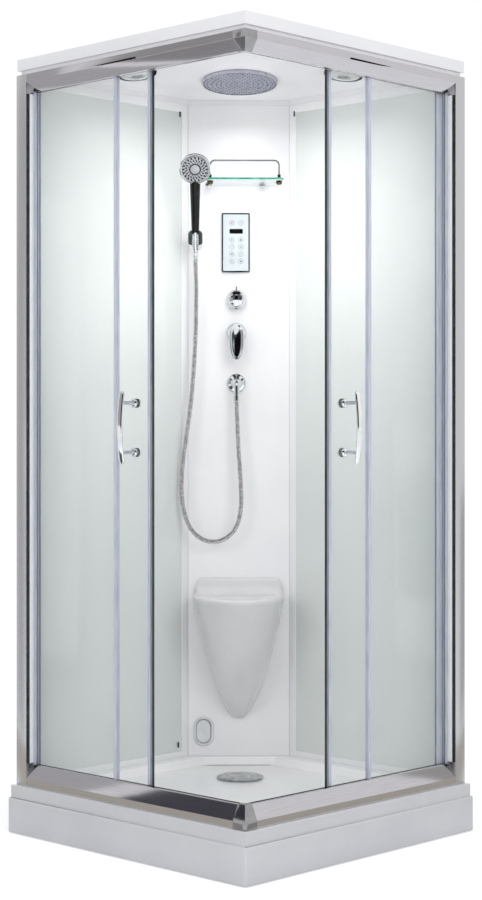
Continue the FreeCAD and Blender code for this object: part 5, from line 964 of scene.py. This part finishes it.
# ----------------------------------------------------- shelf and control panel
def make_shelf(glass, edge, chrome_finish, brass):
    """A glass shelf with two small ball brackets and a low gallery rail."""
    bm = merged_copy("shelf_glass")
    bevelled(bm, 0.9 * MM, 40, 2)
    for face in bm.faces:
        face.material_index = 1 if face.normal.dot(OUT) > 0.5 else 0
    piece("shelf_glass_green", bm, [glass, edge], "cabin", ("shelf_glass",), 32, False)
    bm = bmesh.new()
    radius, slit = 9, 3.0
    corner = math.sqrt(radius ** 2 - slit ** 2)
    arc = [(x, y) for x, y, _ in stadium(radius, radius, 0) if y > slit]
    half = [(corner, slit)] + arc + [(-corner, slit)]
    ball = ((0.94, 0.0), (1.0, 0.8), (1.0, 18), (0.97, 21.5), (0.88, 24.4), (0.7, 25.7), (0.45, 26))
    for across in (-90, 70):
        where = on_column(0, across, SHELF_LEVEL)
        for sign in (1, -1):
            loft(bm, [[(sign * x * share, sign * max(y * share, slit), z) for x, y in half]
                      for share, z in ball], where)
        turned(bm, [(9, 0), (9, 3), (0, 3)], where, 0, 40)
    for across in GALLERY_ENDS:
        where = standing(GALLERY_OUT, across, SHELF_LEVEL)
        turned(bm, [(6.0, 3), (9, 3), (9, 4.6), (8.4, 5.8), (5.6, 7.4), (4.6, 9), (4.6, 12.4), (5.4, 13.4),
                    (5.4, 14.4), (3.2, 15)], where, 1, 36)
        turned(bm, [(3.0, -15), (6.2, -14.2), (8.4, -11.6), (9, -8.0), (9, -3), (6, -3)], where, 1, 36)
    piece("shelf_clamps_chrome", bm, [chrome_finish, brass], "cabin", ("shelf_clamps",))
    bm = bmesh.new()
    left, right = GALLERY_ENDS
    bend, foot, top = 14, 1834, 1876
    path = [(GALLERY_OUT, left, foot)]
    for centre, sense in ((left + bend, -1), (right - bend, 1)):
        for k in range(9):
            turn = math.pi / 2 * (k if sense < 0 else 8 - k) / 8
            level = top - bend + bend * math.sin(turn)
            path.append((GALLERY_OUT, centre + sense * bend * math.cos(turn), level))
    path.append((GALLERY_OUT, right, foot))
    round_bar(bm, path, 3, place(column_point(0, 0, 0), OUT, ACROSS, UP), 0, 16)
    piece("shelf_rail_chrome", bm, [chrome_finish], "cabin", ("shelf_rail",))


def key_rows():
    """Key places on the panel: two columns, the first row apart."""
    return [(x, y) for y in (58.5, 8, -12.8, -33.5, -55.5) for x in (-11.6, 15.1)]


def make_control_panel(face_finish, chrome_finish, black, print_finish, red):
    bm = bmesh.new()
    where = on_column(0, PANEL_ACROSS, PANEL_LEVEL)
    plate(bm, 84, 176, 4, 0, 9.2, where, 0, 1.0)
    outer = [rounded(84, 176, 4, 6.5), rounded(84, 176, 4, 9.2), rounded(82.6, 174.6, 3.4, 10.0),
             rounded(76.4, 168.4, 2.2, 10.0), rounded(75, 167, 2, 9.0), rounded(75, 167, 2, 6.5)]
    loft(bm, outer, where, 0, closed=True)
    plate(bm, 74.6, 166.6, 1.8, 8.0, 9.5, where, 1, 0.4)
    plate(bm, 38, 12.5, 0.8, 9.0, 9.9, where, 2, 0.3, dx=1.2, dy=33.5)
    plate(bm, 40, 14.5, 1.2, 9.0, 9.7, where, 3, 0.3, dx=1.2, dy=33.5)
    for index, (x, y) in enumerate(key_rows()):
        spot = where @ Matrix.Translation((x, y, 9.5))
        hoop(bm, [(7.4, -0.3), (7.4, 0.2), (6.8, 0.3), (6.5, -0.1), (6.5, -0.3)], spot, 3, 28)
        turned(bm, [(6.4, -0.4), (6.2, 0.15), (0, 0.25)], spot, 1, 28)
        paint = 4 if index == 0 else 3
        if index % 3 == 0:
            turned(bm, [(2.6, 0), (2.6, 0.4), (0, 0.45)], spot, paint, 16)
        elif index % 3 == 1:
            plate(bm, 5.6, 1.3, 0.5, 0, 0.45, spot, paint, 0.1)
        else:
            steps = ((0, 3.0), (0.4, 3.0), (0.45, 2.8))
            loft(bm, [stadium(radius, radius, level, 3) for level, radius in steps], spot, paint)
    piece("control_panel_face", bm, [chrome_finish, face_finish, black, print_finish, red], "cabin",
          ("control_panel",))


# ------------------------------------------------------------------ ceiling
def ceiling_place(x, y, level, normal):
    """A place under the sloping ceiling, z square to it."""
    z = Vector(normal).normalized()
    side = ACROSS - z * ACROSS.dot(z)
    side.normalize()
    return place(Vector((x, y, level)), side, z.cross(side), z)


def make_rain_head(face_finish, dark, rubber):
    """A round head under the ceiling, its face set with small nozzles."""
    tilt = OUT * -math.tan(CENTRE_SLOPE) + UP
    centre = column_point(RAIN_OUT, 0, RAIN_LEVEL)
    where = ceiling_place(*centre, tilt)
    bm = bmesh.new()
    turned(bm, [(0, -11), (101.5, -11), (102.3, -11.9), (105.6, -11.9), (106.7, -11.2), (107, -10),
                (107, -3), (106.2, -1.2), (104, -0.2), (60, 2.5), (20, 4.5), (14, 6), (12, 9), (12, 25.5),
                (0, 26)], where, 0, 96)
    hoop(bm, [(101.4, -10.6), (102.0, -12.0), (106.4, -11.6), (107.0, -9.6), (106.9, -6.5),
              (105, -6.5)], where, 1, 96)
    nozzles = grown(bpy.data.meshes.new("nozzles"), NOZZLE_DISC, Rings=7, Pitch=13.4, Radius=2.0,
                    Height=1.6, Finish=rubber)
    flip = Matrix.Rotation(math.pi, 4, "X")
    added(bm, nozzles, where @ Matrix.Translation((0, 0, -11.4)) @ flip, 2)
    piece("rain_head_face", bm, [face_finish, dark, rubber], "cabin", ("rain_shower_head",))


def make_lamps(chrome_finish, lens, black, grey):
    """Two round downlights: chrome ring, dark step and frosted lens."""
    bm = bmesh.new()
    fall = math.tan(SIDE_SLOPE)
    for x, y, tilt in ((-301, -109, Vector((-fall, 0, 1))), (109, 301, Vector((0, fall, 1)))):
        where = ceiling_place(x, y, LAMP_LEVEL, tilt)
        ring = turned(bm, [(44, -10), (53.6, -10), (55.2, -9), (56, -7.6), (56, -2.4), (55, 0), (40, 0.2),
                           (40, 29), (39, 30), (0, 30)], where, 0, 64)
        for face in ring:
            spot = where.inverted() @ face.calc_center_median()
            dash = math.atan2(spot.y, spot.x) * 9 / math.pi % 3 > 0.5
            if dash and math.hypot(spot.x, spot.y) > 54 and -9.2 < spot.z < -1.2:
                face.material_index = 2
        hoop(bm, [(51.5, -9.8), (51, -10.8), (47.5, -11.2), (45.5, -9.4)], where, 2, 64)
        turned(bm, [(0, -16), (14, -15.6), (27, -14.6), (38, -12.6), (44, -10.8), (46.5, -9.6),
                    (0, -9.0)][::-1], where, 1, 56)
        turned(bm, [(0, -16.4), (15, -16), (18, -15.2), (0, -14)][::-1], where, 3, 32)
    piece("ceiling_lamps_lit", bm, [chrome_finish, lens, black, grey], "cabin",
          ("ceiling_lamps",))


# ------------------------------------------------------------- doors and glass
def make_pane(node, glass, edge, body, across):
    """A glass pane with eased edges that show green."""
    bm = merged_copy(node)
    bevelled(bm, 0.7 * MM, 40, 1)
    for face in bm.faces:
        face.material_index = 0 if abs(face.normal[across]) > 0.9 else 1
    piece(f"{node}_pane", bm, [glass, edge], body, (node,), 32, False)


def make_handle(side, chrome_finish):
    """A bowed bar, rounded at its ends, standing on two studs."""
    where = on_face(side, DOOR_LEAD[side] + HANDLE_SETBACK, 0, HANDLE_LEVEL)
    half, bow, thick = 93.0, 9.0, 9.0
    radius = (half ** 2 + bow ** 2) / (2 * bow)
    face = math.sqrt(radius ** 2 - STUD_REACH ** 2)
    base = DOOR_PLANE + 2.5 + 45
    bm = bmesh.new()
    rings = []
    steps = 28
    tilt = math.asin(half / radius)
    for k in range(steps + 1):
        share = -1 + 2 * k / steps
        angle = tilt * share
        end = math.sqrt(max(1 - max(abs(share) - 0.9, 0) ** 2 / 0.0101, 0.02))
        ring = []
        for x, y, _ in stadium(9 * (0.25 + 0.75 * end), thick / 2 * (0.45 + 0.55 * end), 0, 28, 2.6):
            reach = radius + thick / 2 + y
            ring.append((x, reach * math.sin(angle), base + reach * math.cos(angle) - face))
        rings.append(ring)
    loft(bm, rings, where, 0)
    piece(f"handle_bar_{side}_chrome", bm, [chrome_finish], f"door_{side}", (f"handle_bar_{side}",))


def make_studs(side, chrome_finish, dark):
    bm = bmesh.new()
    for level in (HANDLE_LEVEL - STUD_REACH, HANDLE_LEVEL + STUD_REACH):
        where = on_face(side, DOOR_LEAD[side] + HANDLE_SETBACK, DOOR_PLANE + 2.5, level)
        turned(bm, [(6.5, -14), (8.6, -13.9), (10.8, -12.4), (12, -10), (12, -7.6), (11.6, -6.6),
                    (9.6, -5.02), (5, -5.02), (5, 0.02), (9.6, 0.02), (11.6, 1.6), (12, 2.6), (12, 5),
                    (10.8, 7.4), (8.6, 8.9), (5.6, 9.6), (5, 11), (5, 45)], where, 0, 40)
        for low, high in ((-6.6, -5.0), (0.0, 1.6)):
            hoop(bm, [(11.8, low), (12, (low + high) / 2), (11.8, high), (9.8, high),
                      (9.8, low)], where, 1, 40)
    piece(f"handle_studs_{side}_chrome", bm, [chrome_finish, dark], f"door_{side}",
          (f"handle_studs_{side}",))


def make_magnet_profile(side, black, clear, grey):
    """The strip on the leading edge: black lip, grey line and clear grip."""
    bm = bmesh.new()
    low, high = 172, 2016.3
    mid, tall = (low + high) / 2, high - low
    upright = on_face(side, DOOR_LEAD[side], DOOR_PLANE, mid) @ Matrix.Rotation(math.radians(-90), 4, "X")
    sign = 1 if side == "right" else -1
    for start, end, paint, half in ((-7, -4.4, 0, 3.2), (-4.4, 1.6, 2, 4.3), (1.6, 12, 1, 4.4)):
        width = end - start
        middle = sign * (start + end) / 2
        levels = (-tall / 2, 0.6 - tall / 2, tall / 2 - 0.6, tall / 2)
        loft(bm, [rounded(width, 2 * half, 1.2, z, 3, dx=middle) for z in levels], upright, paint)
    piece(f"magnet_seal_{side}_strip", bm, [black, clear, grey], f"door_{side}", (f"magnet_seal_{side}",))


# ---------------------------------------------------------- tray and outlets
def make_skirt(acrylic):
    """The white skirt: two long faces with eased corners, short returns and a ledge."""
    half, wall, ends, ease = 450.0, 446.0, 390.0, 7.0

    def outline(shrink, level):
        points = [(ends, half - shrink), (ends, wall), (wall, wall), (wall, -wall), (-wall, -wall),
                  (-wall, -ends), (-half + shrink, -ends)]
        corners = [((-1, -1), 180), ((1, -1), 270), ((1, 1), 0)]
        for (x, y), start in corners:
            for k in range(7):
                turn = math.radians(start + 15 * k)
                centre = half - ease
                points.append((x * centre + (ease - shrink) * math.cos(turn),
                               y * centre + (ease - shrink) * math.sin(turn)))
        return [(x, y, level) for x, y in points]

    bm = bmesh.new()
    where = Matrix.Scale(MM, 4)
    steps = ((2, 2), (0.6, 2.6), (0, 4), (0, 90.5), (0.6, 93), (2, 94.4), (3.4, 95))
    loft(bm, [outline(shrink, level) for shrink, level in steps], where)
    ledge = [(-wall, -wall), (wall, -wall), (wall, wall), (443, wall), (443, -443), (-wall, -443)]
    loft(bm, [[(x, y, z) for x, y in ledge] for z in (91, 95)], where)
    piece("tray_skirt_shaped", bm, [acrylic], "cabin", ("tray_skirt",))


def seat_ring(level, shrink, count=48):
    """The seat's outline at one level: flat at the back, bowed in front."""
    share = min((level - SEAT_TIP) / (SEAT_LEVEL - SEAT_TIP), 1.0)
    half = SEAT_HALF * share ** 0.52 - shrink
    depth = SEAT_DEPTH * share ** 0.75 - shrink
    ring = [(0.5, half, level), (0.5, -half, level)]
    for k in range(count + 1):
        turn = math.pi * (k / count - 0.5)
        x = depth * abs(math.cos(turn)) ** (2 / 2.3)
        ring.append((0.5 + x, half * math.copysign(abs(math.sin(turn)) ** (2 / 2.3), turn), level))
    return ring


def make_seat(acrylic):
    """A moulded seat: a bowed body, a rolled front edge and a low back that runs into it."""
    bm = bmesh.new()
    where = place(column_point(0, 0, 0), OUT, ACROSS, UP)
    shares = (0.012, 0.03, 0.06, 0.1, 0.16, 0.24, 0.34, 0.46, 0.6, 0.74, 0.86, 0.95)
    body = [seat_ring(SEAT_TIP + (SEAT_LEVEL - SEAT_TIP) * share, 0) for share in shares]
    edge = ((-14, 0), (-8, 1.2), (-3.5, 4), (-0.8, 8.5), (0, 14), (-0.4, 24), (-2.4, 48), (-3.6, 80),
            (-4, 104))
    rolled = [seat_ring(SEAT_LEVEL + rise, shrink) for rise, shrink in edge]
    loft(bm, body + rolled, where)
    back = []
    for k in range(33):
        across = -132 + 264 * k / 32
        reach = max(abs(across) - 110, 0) / 22
        rise = 46 * math.sqrt(max(1 - reach ** 2, 0.02))
        top = SEAT_LEVEL + rise
        profile = [(0.5, SEAT_LEVEL - 8), (0.5, top - 2), (3, top), (9, top - 0.6), (13.5, top - 3.4),
                   (16, top - 8)]
        for step in range(7):
            bend = math.pi / 2 * step / 6
            profile.append((16.6 + 30 * (1 - math.cos(bend)),
                            SEAT_LEVEL + (rise - 14) * (1 - math.sin(bend))))
        profile.append((47, SEAT_LEVEL - 8))
        back.append([(x, across, z) for x, z in profile])
    loft(bm, back, where)
    piece("seat_moulded", bm, [acrylic], "cabin", ("seat",), 50)


def make_tray(acrylic, painted_rim_shade):
    """The tray's own shape, its outer rim and underside in the skirt's darker tone as painted shade."""
    bm = bmesh.new()
    bm.from_mesh(frame["nodes"]["tray"].data)
    bmesh.ops.remove_doubles(bm, verts=bm.verts, dist=1e-6)
    for face in bm.faces:
        spot = face.calc_center_median()
        face.material_index = 1 if max(spot.x, -spot.y) > 0.4405 or face.normal.z < -0.5 else 0
    piece("tray_two_tone", bm, [acrylic, painted_rim_shade], "cabin", ("tray",), 32, False)


def make_drain_cover(cover, dark):
    """A low domed cover with three small holes, over its dark gap."""
    bm = bmesh.new()
    where = lying(*DRAIN)
    turned(bm, [(8, -25), (8, 0.6), (62, 0.6), (65.2, 1.2), (66, 2.4), (65.6, 4.0), (62, 5.6), (52, 7.0),
                (36, 8.0), (18, 8.4), (0, 8.5)], where, 0, 72)
    for x, y in ((-26, 8), (4, -20), (30, 14)):
        turned(bm, [(2.2, 0), (2.2, 1.0), (1.6, 1.2), (0, 1.2)], where @ Matrix.Translation((x, y, 7.2)),
               1, 14)
    piece("drain_cover_domed", bm, [cover, dark], "drain_lid", ("drain_cover",))


def make_steam_outlet(white, dark, chrome_finish):
    """An oval ring with a raised tongue that turns the steam upwards."""
    bm = bmesh.new()
    where = on_column(0, *STEAM_OUTLET)
    outer = [(29.5, 43.5, 0.0), (29.5, 43.5, 3.5), (28.6, 42.6, 5.6), (27.0, 41.0, 6.8), (25.4, 39.4, 7.0),
             (23.6, 37.6, 6.2), (22.6, 36.6, 4.4), (22.6, 36.6, 2.0)]
    loft(bm, [rounded(2 * a, 2 * b, a - 0.5, z, 10) for a, b, z in outer], where, 0)
    hood = [(20.6, 33.0, 2.0, -1.0), (20.6, 33.0, 4.0, -1.0), (19.4, 31.8, 6.0, -1.0), (16.5, 29, 6.9, -1.0)]
    loft(bm, [rounded(2 * a, 2 * b, a - 0.5, z, 10, -1.0, d) for a, b, z, d in hood], where, 0)
    loft(bm, [rounded(44.8, 72.8, 22, z, 10) for z in (1.0, 2.4)], where, 1)
    back = place(column_point(-24, *STEAM_OUTLET), UP, ACROSS, OUT)
    hoop(bm, [(9, 0), (9, 21), (7, 21), (7, 0)], back, 2, 28)
    piece("steam_outlet_oval", bm, [white, dark, chrome_finish], "cabin", ("steam_outlet",))


def make_post_gaskets(dark, white):
    """A dark rubber line and a white strip up the inner side of each post."""
    bm = bmesh.new()
    for side in ("left", "right"):
        for near, far, paint in ((420.0, 428.5, 0), (403.5, 418.0, 1)):
            where = on_face(side, 844.2, (near + far) / 2, 1099)
            upright = where @ Matrix.Rotation(math.radians(-90), 4, "X")
            ends = ((0.4, -908), (0, -907), (0, 907), (0.4, 908))
            loft(bm, [rounded(1.6, far - near - 2 * i, 0.6, z, 3) for i, z in ends], upright, paint)
    piece("post_gaskets", bm, [dark, white], "cabin")


def make_column(acrylic, trim):
    """The column with polished folds down both its edges."""
    bm = merged_copy("column_panel")
    bevelled(bm, 1.5 * MM)
    for face in bm.faces:
        facing = face.normal.dot(OUT)
        face.material_index = 1 if abs(face.normal.z) < 0.1 and -0.2 < facing < 0.93 else 0
    piece("column_panel_folded", bm, [acrylic, trim], "cabin", ("column_panel",), 32, False)


def make_wall_clips(dark):
    """Small dark clips that hold the wall glass in its frame."""
    bm = bmesh.new()
    clips = (("left", 174, 2028), ("left", 167, 167), ("right", -187, 2032), ("right", 372, 176))
    for side, along, level in clips:
        where = on_wall(side, along, 420, level)
        plate(bm, 4, 16, 1.2, -1.0, 2.4, where, 0, 0.6)
    piece("wall_glass_clips", bm, [dark], "cabin")


# ------------------------------------------------------------------ the build
NOZZLE_DISC = nozzle_disc_tree()
SLOT_RING = slot_ring_tree()
RIBBED_HOSE = ribbed_hose_tree()


def build():
    acrylic = finished("white_acrylic")
    roof = finished("roof_acrylic")
    seat = finished("shaded_seat_acrylic")
    wall = finished("white_glass")
    glass = finished("clear_glass")
    edge = finished("glass_edge")
    rails = finished("rail_aluminium")
    posts = finished("post_aluminium")
    bright = finished("chrome")
    seal = finished("clear_seal")
    line = finished("seal_line")
    white = finished("white_seal")
    magnet = finished("black_seal")
    black = finished("black_plastic")
    grip = finished("grip_plastic")
    grey = finished("grey_plastic")
    rubber = finished("rubber_nozzle")
    gap = finished("dark_gap")
    slider = finished("nylon")
    drain = finished("drain_plastic")
    tubes = zinc_tube()

    photograph_camera()
    studio_world()
    studio_floor()
    studio_lamps()
    studio_cards()

    steel = finished("hose_steel")
    hose("hose_lower_ribbed", HOSE_LOWER, steel, ("hose_lower", "cabin", "holder", 0.8))
    hose("hose_upper_ribbed", HOSE_UPPER, steel, ("hose_upper", "holder", "hand_shower", 0.0))

    make_handset(bright, black)
    make_spray_plate(finished("spray_grey"), gap, bright, rubber)
    make_holder_clip(grip, bright)
    make_holder_bracket(bright)
    make_escutcheons(bright)
    make_diverter(bright, gap)
    make_mixer_dome(bright)
    make_lever(bright)
    make_outlet(bright)
    make_shelf(finished("shelf_glass"), finished("shelf_edge"), bright, finished("dark_brass"))
    make_control_panel(finished("panel_face"), bright, black, finished("panel_print"), finished("red_print"))
    make_rain_head(finished("rain_face"), gap, finished("pale_nozzle"))
    make_lamps(bright, finished("lamp_lens"), black, grey)
    make_drain_cover(grey, gap)
    make_steam_outlet(drain, grey, bright)
    make_wall_clips(gap)
    make_post_gaskets(gap, white)
    for side, across in (("left", 1), ("right", 0)):
        make_pane(f"door_glass_{side}", glass, edge, f"door_{side}", across)
        make_pane(f"fixed_glass_{side}", glass, edge, "cabin", across)
        make_handle(side, bright)
        make_studs(side, bright, gap)
        make_magnet_profile(side, magnet, seal, line)
        softened(f"trailing_profile_{side}", seal, 0.4)
        softened(f"glass_seals_{side}", seal, 0.4)
        softened(f"wall_post_{side}", posts, 1.2)
        softened(f"wall_frame_{side}", acrylic, 1.2)
        softened(f"wall_panel_{side}", wall, 0.8)
        softened(f"top_rail_{side}", rails, 1.0, 0.7, 14)
        softened(f"bottom_rail_{side}", rails, 1.6, 0.7, 14)
        paint_node(f"door_hangers_{side}", slider)
        for end in ("front", "rear"):
            paint_node(f"top_roller_{side}_{end}", slider)
    softened("corner_connectors", finished("corner_metal"), 0.8)
    make_column(acrylic, finished("polished_trim"))
    softened("roof", roof, 2.0)
    # The skirt's darker acrylic is painted shade; the tray's outer rim takes it too.
    skirt = finished("shaded_skirt_acrylic")
    make_skirt(skirt)
    make_tray(acrylic, skirt)
    softened("tray_support_frame", tubes, 1.5)
    softened("steam_generator", finished("generator_steel"), 2.0)
    make_seat(seat)
    paint_node("drain_trap", drain)
    paint_node("supply_pipes", finished("copper_pipe"))
    paint_node("leveling_feet", finished("foot_plastic"))


build()
